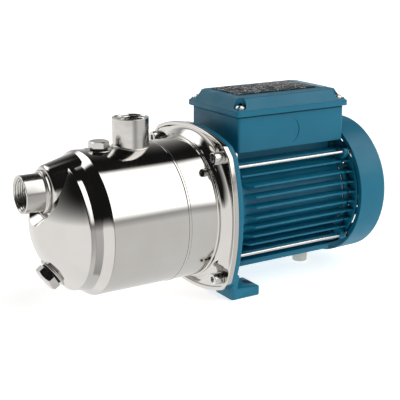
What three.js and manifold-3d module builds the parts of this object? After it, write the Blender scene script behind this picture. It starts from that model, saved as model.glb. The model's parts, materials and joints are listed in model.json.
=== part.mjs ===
// Shallow well jet pump: a stainless jet pump close-coupled to a finned electric motor.
// Millimetres, +Z up. +X runs along the shaft from the suction port to the fan.
// Inside the pump group, station (x) 0 is the front face of the front bearing and
// y = z = 0 is the shaft axis. The origin of the exported group is on the floor,
// under the middle of the pump's length.
import * as THREE from 'three';
import { mergeVertices } from 'three/addons/utils/BufferGeometryUtils.js';
import Module from 'manifold-3d';

const wasm = await Module();
wasm.setup();

// ---------------------------------------------------------------- driving dimensions
const AXIS_HEIGHT = 92;          // shaft axis above the floor
const GAP = 0.3;                 // between pieces that touch
const WALL = 2;                  // pressed steel wall of the casing

const SUCTION_RIM = -222.7;      // station of the suction port's mouth
const COVER_END = 192.75;        // station of the fan cover's rear face

const CASING_R = 76;
const CASING_FRONT = -157;       // where the cylinder meets the shoulder
const CASING_SEAM = -72.5;       // weld between the front shell and the flange shell
const SHOULDER_R = 69.9;
const SHOULDER_X = -165.5;
const BAND_R = 67.6;             // narrow band between the dome's edge and the shoulder
const BAND_X = -173;
const DOME_R = 67;
const DOME_X = -178;
const DOME_DEPTH = 32.5;
const DOME_POWER = 1.9;

const PORT_R = 19.6;             // outside of both threaded ports (G1)
const THREAD_BORE_R = 16.6;
const THREAD_DEPTH = 17;
const THROAT_R = 12.5;           // bore of the ports beyond the thread
const SUCTION_HEIGHT = 39;       // suction port above the shaft axis
const SEAT_X = -198;             // flat seat of the suction port on the dome
const DISCHARGE_X = -98;
const DISCHARGE_TOP = 105.2;

const PRIMING_X = -135;
const PRIMING_SEAT = 75.2;       // height of the flat under the priming plug
const DRAIN_R = 49;              // distance of the drain plug from the shaft axis
const PLUG_THREAD_R = 7.6;       // G3/8 plugs
const PLUG_BOSS_DEPTH = 9;
const PRIMING_PLUG = { bossR: 14, washerR: 11, flats: 19, top: 8.8 };
const DRAIN_PLUG = { bossR: 17, washerR: 12.8, flats: 26, top: 12.4 };

const FLANGE_FRONT = -28;
const FLANGE_BACK = -22;
const FLANGE_HALF = 91;          // half width of the bulged square flange
const FLANGE_CORNER = 68;        // half length of each bulged side
const SIDE_ARC = 190;            // radius of the bulged sides
const FLANGE_LIP = 5;
const FLANGE_SCREW = { y: 64, z: 65.5, r: 4, headR: 6.5, head: -37.8, end: -9 };
const COVER_R = 80;              // rim of the casing cover
const O_RING = { x: -26.7, r: 76.9, section: 1.4 };

const BRACKET_FRONT = -21.7;
const BRACKET_EDGE = -15.5;      // rear face of the bracket's plate
const FOOT = { front: -16.5, back: 20, inner: 38, outer: 70.5, tall: 13, low: 10.3 };
const FOOT_SLOT = { y: 54, width: 10, from: 4, length: 40 };  // open at the rear

const FRAME_FRONT = -5.7;
const FRAME_END = 143;
const FRAME_BORE = 52.3;
const FRAME_R = 57;
const FIN_TIP_R = 68;
const FIN_PITCH = 11.1;
const FIN_THICK = 2.6;
const FIN_START = 17;
const FIN_END = 141;
const UPPER_FINS = 33;           // fins above this height start closer to the bracket
const SUPPORT_X = 128;           // station of the rear support foot
const LEAD = { x: 60, r: 5 };    // passage of the leads into the terminal box
const TIE_ROD = { y: 53.5, z: 49.5, r: 1.8, headFlats: 7 };

const BEARING = {
  bore: 8.8, innerLand: 11.8, outerLand: 16.4, outerR: 20, width: 12, ballR: 2.7, groove: 0.9,
};
const REAR_BEARING = 130;
const SHIELD_FRONT = 143.3;      // rear shield's face against the frame
const SHIELD_REAR = 149;
const SHIELD_FINS_END = 155.5;
const BALLS = 7;

const CORE_FROM = 35;
const CORE_TO = 105;
const STATOR_R = 52;
const STATOR_BORE = 31;
const ROTOR_R = 30.4;

const FAN_COVER_FRONT = 151.5;
const FAN_COVER_R = 79.9;
const FAN = { from: 157, to: 175, r: 63, hubR: 15, blades: 7 };
const GRILLE = { rows: [18, 32, 46], tall: 8, sectors: 5, rib: 3 };

const BOX = { x0: 5.5, x1: 148.5, y: 46.5, z0: 62.5, z1: 100.2, wall: 3 };
const LID = { x0: 1.5, x1: 151.8, y: 50, z0: 101.8, rim: 107.8, top: 120.1, slope: 9 };
const LID_SCREW = { x0: 10.5, x1: 142.8, y: 42, r: 2, headR: 4.2, depth: 88 };

// segment counts of round shapes
const LARGE = 28;
const MEDIUM = 20;
const SMALL = 12;
const TINY = 8;
const FLATNESS = 0.02;           // triangles nearer to one plane than this are joined

// ---------------------------------------------------------------- finishes
const FINISH = {
  polished: [0xd9d7d3, 0.1, 1.0],
  stainless: [0xc3c1bd, 0.28, 1.0],
  zinc: [0xcfcfca, 0.32, 1.0],
  blue: [0x14607c, 0.42, 0.05],
  blackPlastic: [0x18191b, 0.5, 0.0],
  brownPlastic: [0x6b4a2c, 0.55, 0.0],
  ivory: [0xd8d3c4, 0.55, 0.0],
  rubber: [0x151515, 0.8, 0.0],
  bearingSteel: [0xb9bcc0, 0.2, 1.0],
  shaftSteel: [0xaeb1b4, 0.25, 1.0],
  laminations: [0x5e6266, 0.5, 0.8],
  copper: [0xa85a2a, 0.35, 0.9],
  castAlloy: [0xa9adb0, 0.45, 0.9],
  carbon: [0x2a2a2c, 0.45, 0.1],
  ceramic: [0xece8df, 0.35, 0.0],
  resin: [0x3b3d40, 0.55, 0.0],
};

// ---------------------------------------------------------------- solid helpers
/** A closed three.js geometry as a solid that can be joined and cut. */
function toSolid(geometry) {
  const bare = geometry.clone();
  bare.deleteAttribute('normal');
  bare.deleteAttribute('uv');
  const merged = mergeVertices(bare, 1e-4);
  const index = merged.index.array;
  const triVerts = [];
  for (let i = 0; i < index.length; i += 3) {
    const [a, b, c] = [index[i], index[i + 1], index[i + 2]];
    if (a !== b && b !== c && c !== a) triVerts.push(a, b, c);
  }
  return new wasm.Manifold(new wasm.Mesh({
    numProp: 3,
    vertProperties: Float32Array.from(merged.attributes.position.array),
    triVerts: Uint32Array.from(triVerts),
  }));
}

/** The three.js geometry of a solid. */
function toGeometry(solid) {
  const mesh = solid.simplify(FLATNESS).getMesh();
  const geometry = new THREE.BufferGeometry();
  geometry.setAttribute('position', new THREE.BufferAttribute(mesh.vertProperties, mesh.numProp));
  geometry.setIndex(new THREE.BufferAttribute(mesh.triVerts, 1));
  geometry.computeVertexNormals();
  return geometry;
}

/** Points as a ring that turns anticlockwise, so that its solid faces out. */
function anticlockwise(points) {
  let area = 0;
  points.forEach(([x, y], i) => {
    const [nextX, nextY] = points[(i + 1) % points.length];
    area += x * nextY - nextX * y;
  });
  return area > 0 ? points : [...points].reverse();
}

/** Revolves [radius, height] points about Z. The outline closes on itself or on the axis. */
function turned(points, segments) {
  const ring = anticlockwise(points);
  const profile = [...ring, ring[0]].map(([r, z]) => new THREE.Vector2(r, z));
  return toSolid(new THREE.LatheGeometry(profile, segments).rotateX(Math.PI / 2));
}

/** Revolves [station, radius] points about the shaft axis. */
function revolved(points, segments) {
  const ring = anticlockwise(points.map(([x, r]) => [r, x]));
  const profile = [...ring, ring[0]].map(([r, x]) => new THREE.Vector2(r, x));
  return toSolid(new THREE.LatheGeometry(profile, segments).rotateZ(-Math.PI / 2));
}

/** A round bar along X. */
function barX(radius, from, to, y = 0, z = 0, segments = TINY) {
  const bar = new THREE.CylinderGeometry(radius, radius, to - from, segments);
  return toSolid(bar.rotateZ(-Math.PI / 2).translate((from + to) / 2, y, z));
}

/** A round bar along Y. */
function barY(radius, from, to, x, z, segments = TINY) {
  const bar = new THREE.CylinderGeometry(radius, radius, to - from, segments);
  return toSolid(bar.translate(x, (from + to) / 2, z));
}

/** A round bar along Z. */
function barZ(radius, from, to, x = 0, y = 0, segments = TINY) {
  const bar = new THREE.CylinderGeometry(radius, radius, to - from, segments);
  return toSolid(bar.rotateX(Math.PI / 2).translate(x, y, (from + to) / 2));
}

/** A tube along X between two radii. */
function tubeX(inner, outer, from, to, segments) {
  return revolved([[from, inner], [from, outer], [to, outer], [to, inner]], segments);
}

/** A block from one corner to the opposite one. */
function block(x0, x1, y0, y1, z0, z1) {
  const shape = new THREE.BoxGeometry(x1 - x0, y1 - y0, z1 - z0);
  return toSolid(shape.translate((x0 + x1) / 2, (y0 + y1) / 2, (z0 + z1) / 2));
}

/** A shape drawn in (y, z), extruded along X. */
function prismX(shape, from, to, curveSegments = 3) {
  const settings = { depth: to - from, bevelEnabled: false, curveSegments };
  const prism = new THREE.ExtrudeGeometry(shape, settings);
  const turn = new THREE.Matrix4().makeBasis(
    new THREE.Vector3(0, 1, 0),
    new THREE.Vector3(0, 0, 1),
    new THREE.Vector3(1, 0, 0),
  );
  return toSolid(prism.applyMatrix4(turn).translate(from, 0, 0));
}

/** A shape drawn in (x, y), extruded along Z. */
function prismZ(shape, from, to, curveSegments = 3) {
  const settings = { depth: to - from, bevelEnabled: false, curveSegments };
  const prism = new THREE.ExtrudeGeometry(shape, settings);
  return toSolid(prism.translate(0, 0, from));
}

/** A shape with straight sides through the given points. */
function polygon(points) {
  return new THREE.Shape(points.map(([a, b]) => new THREE.Vector2(a, b)));
}

/** A rectangle with rounded corners, drawn about a centre. */
function roundedRectangle(centreX, centreY, halfX, halfY, radius) {
  const shape = new THREE.Shape();
  const corners = [[1, 1, 0], [-1, 1, 1], [-1, -1, 2], [1, -1, 3]];
  for (const [sx, sy, quarter] of corners) {
    const x = centreX + sx * (halfX - radius);
    const y = centreY + sy * (halfY - radius);
    shape.absarc(x, y, radius, quarter * Math.PI / 2, (quarter + 1) * Math.PI / 2, false);
  }
  shape.closePath();
  return shape;
}

/** A regular hexagon of the given width across flats. */
function hexagon(flats) {
  const radius = flats / Math.sqrt(3);
  const corner = (i) => [radius * Math.cos(i * Math.PI / 3), radius * Math.sin(i * Math.PI / 3)];
  return polygon([0, 1, 2, 3, 4, 5].map(corner));
}

/** Joins a list of solids. */
function join(...solids) {
  return solids.reduce((whole, solid) => whole.add(solid));
}

/** Copies a solid around the shaft axis. */
function aroundShaft(solid, count) {
  const step = 360 / count;
  return join(...Array.from({ length: count }, (_, i) => solid.rotate([i * step, 0, 0])));
}

const CORNERS = [[-1, 1], [1, 1], [1, -1], [-1, -1]];
const CORNER_NAMES = ['top_near', 'top_far', 'bottom_far', 'bottom_near'];

// ---------------------------------------------------------------- assembly
const assembly = new THREE.Group();
const pump = new THREE.Group();
pump.position.set(-(SUCTION_RIM + COVER_END) / 2, 0, AXIS_HEIGHT);
assembly.add(pump);

/** Adds one named piece to the pump, or to a group inside it. */
function addPart(name, solid, finish, holder = pump) {
  const [color, roughness, metalness] = FINISH[finish];
  const material = new THREE.MeshStandardMaterial({ color, roughness, metalness });
  const mesh = new THREE.Mesh(toGeometry(solid), material);
  mesh.name = name;
  holder.add(mesh);
  return mesh;
}

// ---------------------------------------------------------------- casing
/** Station of the domed front at a distance from the axis. */
function domeAt(radius) {
  return DOME_X - DOME_DEPTH * (1 - (radius / DOME_R) ** DOME_POWER);
}

/** The casing's filled outer form, moved inwards by the wall where inset is not zero. */
function casingForm(inset, end) {
  const domeSteps = 6;
  const outline = [
    [end, 0], [end, CASING_R - inset],
    [CASING_FRONT + inset / 2, CASING_R - inset],
    [SHOULDER_X + inset / 2, SHOULDER_R - inset],
    [BAND_X + inset / 2, BAND_R - inset],
    [DOME_X + 0.8 + inset, DOME_R - inset],
  ];
  for (let i = 0; i < domeSteps; i += 1) {
    const radius = (DOME_R - 1.2) * (1 - i / domeSteps);
    outline.push([domeAt(radius) + inset, Math.max(radius - inset * radius / DOME_R, 0)]);
  }
  outline.push([domeAt(0) + inset, 0]);
  const front = revolved(outline, LARGE);
  const x = SEAT_X + inset;
  const boss = revolved([
    [-165, 0], [-165, 31 - inset], [-180, 29.5 - inset], [-192, 28 - inset],
    [x + 1.5, 26 - inset], [x, 24 - inset], [x, 0],
  ], SMALL).translate([0, 0, SUCTION_HEIGHT]);
  const pocket = revolved([
    [x, 0], [x, 23.5 + inset], [x - 2, 26.5 + inset],
    [x - 12, 36 + inset], [x - 22, 44 + inset], [x - 22, 0],
  ], SMALL).translate([0, 0, SUCTION_HEIGHT]);
  return front.add(boss).subtract(pocket);
}

const drainSlope = DOME_DEPTH * DOME_POWER / DOME_R * (DRAIN_R / DOME_R) ** (DOME_POWER - 1);
const drainTilt = Math.atan(drainSlope);

const drainGroup = new THREE.Group();
drainGroup.position.set(domeAt(DRAIN_R), 0, -DRAIN_R);
drainGroup.rotation.y = -Math.PI / 2 - drainTilt;
pump.add(drainGroup);

const primingGroup = new THREE.Group();
primingGroup.position.set(PRIMING_X, 0, PRIMING_SEAT);
pump.add(primingGroup);

/** A solid of a turned or moved group, placed in the pump's own frame. */
function placedIn(group, solid) {
  group.updateMatrix();
  return solid.transform(group.matrix.toArray());
}

/** A welded socket, sealing washer and hexagon plug, built upwards from its seat. */
function addPlug(name, group, { bossR, washerR, flats, top }) {
  const bore = PLUG_THREAD_R + 0.4;
  const depth = PLUG_BOSS_DEPTH;
  const socket = turned([[bore, -depth], [bossR, -depth], [bossR, 0], [bore, 0]], SMALL);
  addPart(`${name}_socket`, socket, 'stainless', group);
  const washer = turned([[bore, GAP], [washerR, GAP], [washerR, 1.7], [bore, 1.7]], SMALL);
  addPart(`${name}_washer`, washer, 'rubber', group);
  const corner = flats / Math.sqrt(3);
  const rounding = turned([
    [0, 2], [corner - 0.8, 2], [corner + 0.2, 3], [corner + 0.2, top - 1.8], [flats / 2, top], [0, top],
  ], SMALL);
  const head = prismZ(hexagon(flats), 2, top).intersect(rounding);
  const shank = barZ(PLUG_THREAD_R, -depth + 1, 3);
  addPart(`${name}_plug`, head.add(shank), 'stainless', group);
}

function addCasing() {
  const shell = casingForm(0, CASING_SEAM).subtract(casingForm(WALL, CASING_SEAM + 1));
  const suctionHole = barX(17.3, SEAT_X - 5, SEAT_X + 8, 0, SUCTION_HEIGHT, SMALL);
  const dischargeHole = barZ(THROAT_R, 60, 90, DISCHARGE_X, 0, SMALL);
  const primingHole = placedIn(primingGroup, barZ(PRIMING_PLUG.bossR + GAP, -14, 8, 0, 0, SMALL));
  const drainHole = placedIn(drainGroup, barZ(DRAIN_PLUG.bossR + GAP, -16, 12, 0, 0, SMALL));
  const holes = join(suctionHole, dischargeHole, primingHole, drainHole);
  addPart('casing_shell', shell.subtract(holes), 'polished');
  addPlug('priming', primingGroup, PRIMING_PLUG);
  addPlug('drain', drainGroup, DRAIN_PLUG);
}

function addPorts() {
  const spigot = SEAT_X + 7.7;
  const suction = revolved([
    [SUCTION_RIM, THREAD_BORE_R], [SUCTION_RIM, PORT_R - 0.8], [SUCTION_RIM + 0.8, PORT_R],
    [SEAT_X - 4, PORT_R], [SEAT_X - 3.4, 22.3], [SEAT_X - GAP, 22.3], [SEAT_X - GAP, 17],
    [spigot, 17], [spigot, THROAT_R],
    [SUCTION_RIM + THREAD_DEPTH, THROAT_R], [SUCTION_RIM + THREAD_DEPTH, THREAD_BORE_R],
  ], SMALL);
  addPart('suction_port', suction.translate([0, 0, SUCTION_HEIGHT]), 'stainless');
  const mouth = DISCHARGE_TOP;
  const discharge = turned([
    [THROAT_R, 66], [PORT_R - 0.3, 66], [PORT_R - 0.3, mouth - 0.8], [PORT_R - 1.1, mouth],
    [THREAD_BORE_R, mouth], [THREAD_BORE_R, mouth - THREAD_DEPTH], [THROAT_R, mouth - THREAD_DEPTH],
  ], SMALL).translate([DISCHARGE_X, 0, 0]);
  const saddle = barX(CASING_R + GAP, DISCHARGE_X - 30, DISCHARGE_X + 30, 0, 0, LARGE);
  addPart('discharge_port', discharge.subtract(saddle), 'stainless');
}

/** A square with four bulged sides and four cut corners, inset evenly. */
function bulgedSquare(inset) {
  const half = FLANGE_HALF - inset;
  const spread = Math.asin((FLANGE_CORNER - 0.41 * inset) / SIDE_ARC);
  const shape = new THREE.Shape();
  for (let side = 0; side < 4; side += 1) {
    const turn = side * Math.PI / 2;
    const centre = half - SIDE_ARC;
    const [x, y] = [centre * Math.cos(turn), centre * Math.sin(turn)];
    shape.absarc(x, y, SIDE_ARC, turn - spread, turn + spread, false);
  }
  shape.closePath();
  return shape;
}

function flangeScrewHoles(radius, from, to) {
  const { y, z } = FLANGE_SCREW;
  return join(...CORNERS.map(([sy, sz]) => barX(radius, from, to, sy * y, sz * z)));
}

function addCasingFlange() {
  const skirt = revolved([
    [CASING_SEAM + GAP, CASING_R - WALL], [CASING_SEAM + GAP, CASING_R + 0.6],
    [CASING_SEAM + 2.4, CASING_R + 0.6], [CASING_SEAM + 3.4, CASING_R],
    [-38, CASING_R], [-37.6, CASING_R + 1.3], [-33.6, CASING_R + 1.7],
    [-31, 79.6], [-26.2, 85], [-25, 85], [-25, CASING_R - WALL],
  ], LARGE);
  const plate = prismX(bulgedSquare(0), FLANGE_FRONT, FLANGE_BACK);
  const dish = prismX(bulgedSquare(FLANGE_LIP), FLANGE_FRONT - 1, FLANGE_FRONT + 1.8);
  const coverSeat = barX(COVER_R + 0.4, -25, FLANGE_BACK + 1, 0, 0, LARGE);
  const bore = barX(CASING_R - WALL, -40, -20, 0, 0, LARGE);
  const groove = tubeX(O_RING.r - 1.9, O_RING.r + 1.9, O_RING.x - 1.7, -24, LARGE);
  const cuts = join(bore, coverSeat, groove, flangeScrewHoles(FLANGE_SCREW.r + 0.4, -30, -20));
  addPart('casing_flange', plate.subtract(dish).subtract(bore).add(skirt).subtract(cuts), 'polished');
}

/** A ring of round section about the shaft axis. */
function roundRing(x, radius, section, sides, segments) {
  const points = [];
  for (let i = 0; i < sides; i += 1) {
    const turn = 2 * Math.PI * i / sides;
    points.push([x + section * Math.cos(turn), radius + section * Math.sin(turn)]);
  }
  return revolved(points, segments);
}

function addCasingCover() {
  const cover = revolved([
    [-24.7, COVER_R], [-24.7, 68.4], [-47, 68.4], [-47, 20], [-31, 20], [-31, 12.2],
    [-23, 12.2], [-23, 9], [-16, 9], [-16, 14.6], [-28.6, 14.6], [-28.6, 22.4],
    [-44.6, 22.4], [-44.6, 66], [-22.3, 66], [-22.3, COVER_R],
  ], LARGE);
  addPart('casing_cover', cover, 'stainless');
  addPart('casing_o_ring', roundRing(O_RING.x, O_RING.r, O_RING.section, 5, LARGE), 'rubber');
}

/** Flange screw: long cylindrical head with a hexagon socket. */
function addFlangeScrews() {
  const { y, z, r, headR, head, end } = FLANGE_SCREW;
  CORNERS.forEach(([sy, sz], i) => {
    const profile = [
      [head, 0], [head, headR - 0.7], [head + 0.7, headR], [-26.5, headR], [-26.5, r], [end, r], [end, 0],
    ];
    const body = revolved(profile, TINY).translate([0, sy * y, sz * z]);
    const socket = prismX(hexagon(6), head - 1, head + 5).translate([0, sy * y, sz * z]);
    addPart(`flange_screw_${CORNER_NAMES[i]}`, body.subtract(socket), 'zinc');
  });
}

// ---------------------------------------------------------------- ejector and hydraulics
const ELBOW = { r: 12.2, bore: 10.2, bend: 15, from: SEAT_X + 8 };
const EJECTOR = { from: -188, chamberR: 20, chamberEnd: -160, throatR: 6, tail: -86.5, tailR: 17.3 };

function sweptQuarter(radius, sides) {
  const section = new THREE.Shape();
  section.absarc(0, 0, radius, 0, 2 * Math.PI, false);
  const start = new THREE.Vector3(ELBOW.from, 0, SUCTION_HEIGHT);
  const corner = new THREE.Vector3(ELBOW.from + ELBOW.bend, 0, SUCTION_HEIGHT);
  const end = new THREE.Vector3(ELBOW.from + ELBOW.bend, 0, SUCTION_HEIGHT - ELBOW.bend);
  const path = new THREE.QuadraticBezierCurve3(start, corner, end);
  const settings = { steps: 8, extrudePath: path, curveSegments: sides / 2 };
  return toSolid(new THREE.ExtrudeGeometry(section, settings));
}

function addEjector() {
  const { from, chamberR, chamberEnd, throatR, tail, tailR } = EJECTOR;
  const bodyOuter = revolved([
    [from, 0], [from, chamberR], [chamberEnd, chamberR], [-148, 10], [-118, 10],
    [tail - 8, tailR], [tail, tailR], [tail, 0],
  ], SMALL);
  const stubX = ELBOW.from + ELBOW.bend;
  const stub = barZ(13.5, 10, SUCTION_HEIGHT - ELBOW.bend, stubX, 0, SMALL);
  const passage = revolved([
    [from - 1, 0], [from - 1, 17], [chamberEnd, 17], [-150, throatR], [-124, throatR],
    [tail + 1, 14], [tail + 1, 0],
  ], SMALL);
  const inlet = barZ(ELBOW.bore, 4, SUCTION_HEIGHT - ELBOW.bend + 0.1, stubX, 0, SMALL);
  const body = join(bodyOuter, stub, sweptQuarter(ELBOW.r, 16));
  addPart('ejector_body', body.subtract(join(passage, inlet, sweptQuarter(ELBOW.bore, 16))), 'blackPlastic');
  const nozzle = revolved([
    [from, 10], [from, 16.6], [from + 4, 16.6], [from + 4, 12], [-165, 6.5],
    [-157, 5], [-157, 3.6], [-168, 4.5], [from + 4, 9],
  ], SMALL);
  addPart('ejector_nozzle', nozzle, 'stainless');
}

function addDiffuser() {
  const disc = revolved([
    [-86, 17.8], [-86, 21], [-80, 23], [-80, 72.5], [-77, 72.5], [-77, 23], [-72, 21], [-72, 17.8],
  ], MEDIUM);
  const vane = prismX(polygon([[60.5, -4], [71.5, 9], [71.5, 13], [68.5, 11.5], [60.5, 0]]), -77.5, -52);
  addPart('stage_diffuser', disc.add(aroundShaft(vane, 7)), 'blackPlastic');
}

const KEY = { from: -67, to: -55, top: 8.9, half: 1.5 };

function addImpeller() {
  const rear = revolved([
    [-70, 7.3], [-70, 12], [-62, 13], [-56, 22], [-55.5, 58],
    [-53, 58], [-53, 16], [-49.5, 13], [-49.5, 7.3],
  ], MEDIUM);
  const front = revolved([
    [-74, 15], [-74, 17.3], [-68.5, 17.3], [-63, 58], [-61.2, 58], [-65.5, 19], [-70, 15],
  ], MEDIUM);
  const vane = prismX(polygon([
    [14.5, -6], [30, 6], [45, 22], [50.5, 27], [49, 29], [43, 25], [28, 9], [14.5, -2],
  ]), -64, -55);
  const aboveVanes = revolved([[-80, 0], [-80, 14], [-70.5, 14], [-62.2, 59], [-80, 59]], MEDIUM);
  const eye = barX(13.5, -80, -50, 0, 0, SMALL);
  const trimmed = aroundShaft(vane, 6).subtract(join(aboveVanes, eye));
  const keyway = block(-72, -48, -KEY.half - GAP, KEY.half + GAP, 4, KEY.top + GAP);
  addPart('impeller', rear.add(front).add(trimmed).subtract(keyway), 'stainless');
  addPart('impeller_key', block(KEY.from, KEY.to, -KEY.half, KEY.half, 5.3, KEY.top), 'shaftSteel');
  const nut = prismX(hexagon(13), -78.5, -70.3).subtract(barX(4.3, -80, -60));
  addPart('impeller_nut', nut, 'stainless');
}

/** A helical compression spring around the shaft. */
function coilSpring(from, to, radius, wire, turns) {
  class Helix extends THREE.Curve {
    getPoint(t, target = new THREE.Vector3()) {
      const turn = 2 * Math.PI * turns * t;
      const x = from + wire + (to - from - 2 * wire) * t;
      return target.set(x, radius * Math.cos(turn), radius * Math.sin(turn));
    }
  }
  const section = new THREE.Shape();
  section.absarc(0, 0, wire, 0, 2 * Math.PI, false);
  const settings = { steps: turns * 9, extrudePath: new Helix(), curveSegments: 2 };
  return toSolid(new THREE.ExtrudeGeometry(section, settings));
}

function addShaftSeal() {
  addPart('seal_seat', tubeX(8.2, 11.8, -30, -23.4, SMALL), 'ceramic');
  const head = revolved([
    [-37, 7.3], [-37, 12.5], [-33, 12.5], [-32, 10.8], [-30.3, 10.8], [-30.3, 7.3],
  ], SMALL);
  addPart('seal_head', head, 'carbon');
  addPart('seal_spring', coilSpring(-49.1, -37.3, 10, 0.8, 3), 'stainless');
  const lip = revolved([
    [-14.6, 7.3], [-14.6, 13.5], [-13.8, 13.5], [-13.2, 9.5], [-11, 9.5], [-11, 7.3],
  ], SMALL);
  addPart('shaft_deflector', lip, 'rubber');
}

// ---------------------------------------------------------------- bracket and foot
function footLug(side) {
  const { front, back, inner, outer, tall, low } = FOOT;
  const floor = -AXIS_HEIGHT;
  const profile = polygon([[front, floor], [back, floor], [back, floor + low], [front, floor + tall]]);
  const lug = new THREE.ExtrudeGeometry(profile, { depth: outer - inner, bevelEnabled: false });
  lug.rotateX(Math.PI / 2);
  const { from, length, width, y } = FOOT_SLOT;
  const slot = roundedRectangle(from + length / 2, side * y, length / 2, width / 2, width / 2 - 0.01);
  const leg = prismX(polygon([
    [side * inner, floor], [side * outer, floor], [side * outer, floor + tall],
    [side * 75, -64], [side * 44, -56],
  ]), front, -9.5);
  const ribY = side * (inner + 3);
  const rib = block(-12, 12, ribY - 2.5, ribY + 2.5, floor + 1, -70);
  const slope = toSolid(new THREE.BoxGeometry(40, 20, 20).rotateY(Math.PI / 4).translate(14, ribY, -63));
  return toSolid(lug.translate(0, side > 0 ? outer : -inner, 0))
    .add(leg)
    .add(rib.subtract(slope))
    .subtract(prismZ(slot, floor - 1, floor + 20));
}

function addBracket() {
  const plate = prismX(bulgedSquare(1), BRACKET_FRONT, BRACKET_EDGE);
  const housing = revolved([
    [-15.6, 11], [-15.6, 77], [-10, 75], [-6, 60], [-6, 51.9], [4, 51.9], [4, 47.5],
    [-4, 46], [-4, 27], [16, 27], [16, BEARING.outerR + GAP],
    [-GAP, BEARING.outerR + GAP], [-GAP, 15.5], [-3, 15.5], [-3, 11],
  ], MEDIUM);
  const recess = revolved([[-23, 0], [-23, 66], [-16, 64], [-10.5, 56], [-10.5, 0]], MEDIUM);
  const lugs = join(footLug(1), footLug(-1));
  const { y, z, r } = TIE_ROD;
  const rodHoles = join(...CORNERS.map(([sy, sz]) => barX(r + GAP, -16, 0, sy * y, sz * z, TINY)));
  const body = plate.add(housing).subtract(recess).add(lugs);
  const holes = join(flangeScrewHoles(FLANGE_SCREW.r + GAP, -23, -5), rodHoles);
  addPart('motor_bracket', body.subtract(holes), 'blue');
}

// ---------------------------------------------------------------- motor
/** Heights of the cooling fins, which all lie flat. */
function finRows() {
  const rows = [];
  for (let i = -5; i < 5; i += 1) rows.push((i + 0.5) * FIN_PITCH);
  return rows;
}

/** One level bar that ends on the circle of the fin tips. */
function finBar(from, to, z) {
  const reach = Math.sqrt(FIN_TIP_R ** 2 - z ** 2);
  return block(from, to, -reach, reach, z - FIN_THICK / 2, z + FIN_THICK / 2);
}

function addFrame() {
  const wall = tubeX(FRAME_BORE, FRAME_R, FRAME_FRONT, FRAME_END, LARGE);
  const fins = join(...finRows().map((z) => finBar(z > UPPER_FINS ? 5 : 8, FIN_END, z)));
  const bevel = revolved([[0, 56], [8, 56], [FIN_START, 69], [FIN_START, 90], [0, 90]], LARGE)
    .subtract(block(-10, 40, -90, 90, UPPER_FINS, 90));
  const topPad = block(12, 140, -32, 32, 40, BOX.z0 - GAP);
  const bottomRail = block(6, FIN_END, -38, 38, -69, -62.5);
  const railWeb = block(6, FIN_END, -22, 22, -64, -50);
  const bore = barX(FRAME_BORE, -20, 160, 0, 0, LARGE);
  const leadHole = barZ(LEAD.r, 45, 70, LEAD.x, 0);
  const footHole = barZ(4.3, -75, -60, SUPPORT_X, 0);
  const body = join(wall, fins.subtract(bevel), topPad, bottomRail, railWeb);
  addPart('motor_frame', body.subtract(join(bore, leadHole, footHole)), 'blue');
}

function addSupportFoot() {
  const floor = -AXIS_HEIGHT;
  const foot = turned([
    [0, floor], [8, floor], [9, floor + 1], [9, -72], [7.5, -69.3], [3.8, -69.3], [3.8, -62], [0, -62],
  ], SMALL);
  addPart('support_foot', foot.translate([SUPPORT_X, 0, 0]), 'ivory');
}

function addStator() {
  const core = tubeX(STATOR_BORE, STATOR_R, CORE_FROM, CORE_TO, LARGE);
  const slot = block(CORE_FROM - 1, CORE_TO + 1, -1.6, 1.6, STATOR_BORE - 2, 43);
  addPart('stator_core', core.subtract(aroundShaft(slot, 18)), 'laminations');
  const coil = (from, to) => revolved([
    [from, 35], [from, 46], [from + 2, 49], [to - 2, 49], [to, 46], [to, 35], [to - 2, 33], [from + 2, 33],
  ], SMALL);
  addPart('winding_front', coil(18, CORE_FROM - GAP), 'copper');
  addPart('winding_rear', coil(CORE_TO + GAP, 122), 'copper');
}

function addRotor() {
  const core = tubeX(13.3, ROTOR_R, CORE_FROM, CORE_TO, MEDIUM);
  const frontRing = tubeX(19, 28, CORE_FROM - 7, CORE_FROM + 1, SMALL);
  const rearRing = tubeX(19, 28, CORE_TO - 1, CORE_TO + 7, SMALL);
  addPart('rotor_core', join(core, frontRing, rearRing), 'castAlloy');
  const shaft = revolved([
    [-84, 0], [-84, 3.4], [-83.4, 4], [-69.7, 4], [-69.7, 7], [-0.3, 7], [-0.3, 8.5], [BEARING.width, 8.5],
    [BEARING.width, 10], [16, 10], [16, 13], [118, 13], [118, 10], [REAR_BEARING, 10], [REAR_BEARING, 8.5],
    [REAR_BEARING + 13, 8.5], [REAR_BEARING + 13, 6.5], [177, 6.5], [178, 5.5], [178, 0],
  ], SMALL);
  const keyway = block(KEY.from - 0.5, KEY.to + 0.5, -KEY.half - GAP, KEY.half + GAP, 5, 9);
  addPart('shaft', shaft.subtract(keyway), 'shaftSteel');
}

/** One deep-groove ball bearing: two races, and the balls in their cage. */
function addBearing(name, from) {
  const { bore, innerLand, outerLand, outerR, width, ballR, groove } = BEARING;
  const to = from + width;
  const middle = from + width / 2;
  const pitch = (innerLand + outerLand) / 2;
  const race = (start, back, land, bottom) => revolved([
    [start, back], [start, land], [middle - 2.6, land], [middle - 1.9, bottom],
    [middle + 1.9, bottom], [middle + 2.6, land], [to, land], [to, back],
  ], MEDIUM);
  addPart(`${name}_bearing_inner`, race(from + GAP, bore, innerLand, innerLand - groove), 'bearingSteel');
  addPart(`${name}_bearing_outer`, race(from, outerR, outerLand, outerLand + groove), 'bearingSteel');
  const ball = toSolid(new THREE.SphereGeometry(ballR, 6, 5)).translate([middle, pitch, 0]);
  const cage = tubeX(pitch - 0.9, pitch + 0.9, middle - 1.6, middle + 1.6, MEDIUM);
  addPart(`${name}_bearing_cage`, cage.add(aroundShaft(ball, BALLS)), 'bearingSteel');
}

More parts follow.
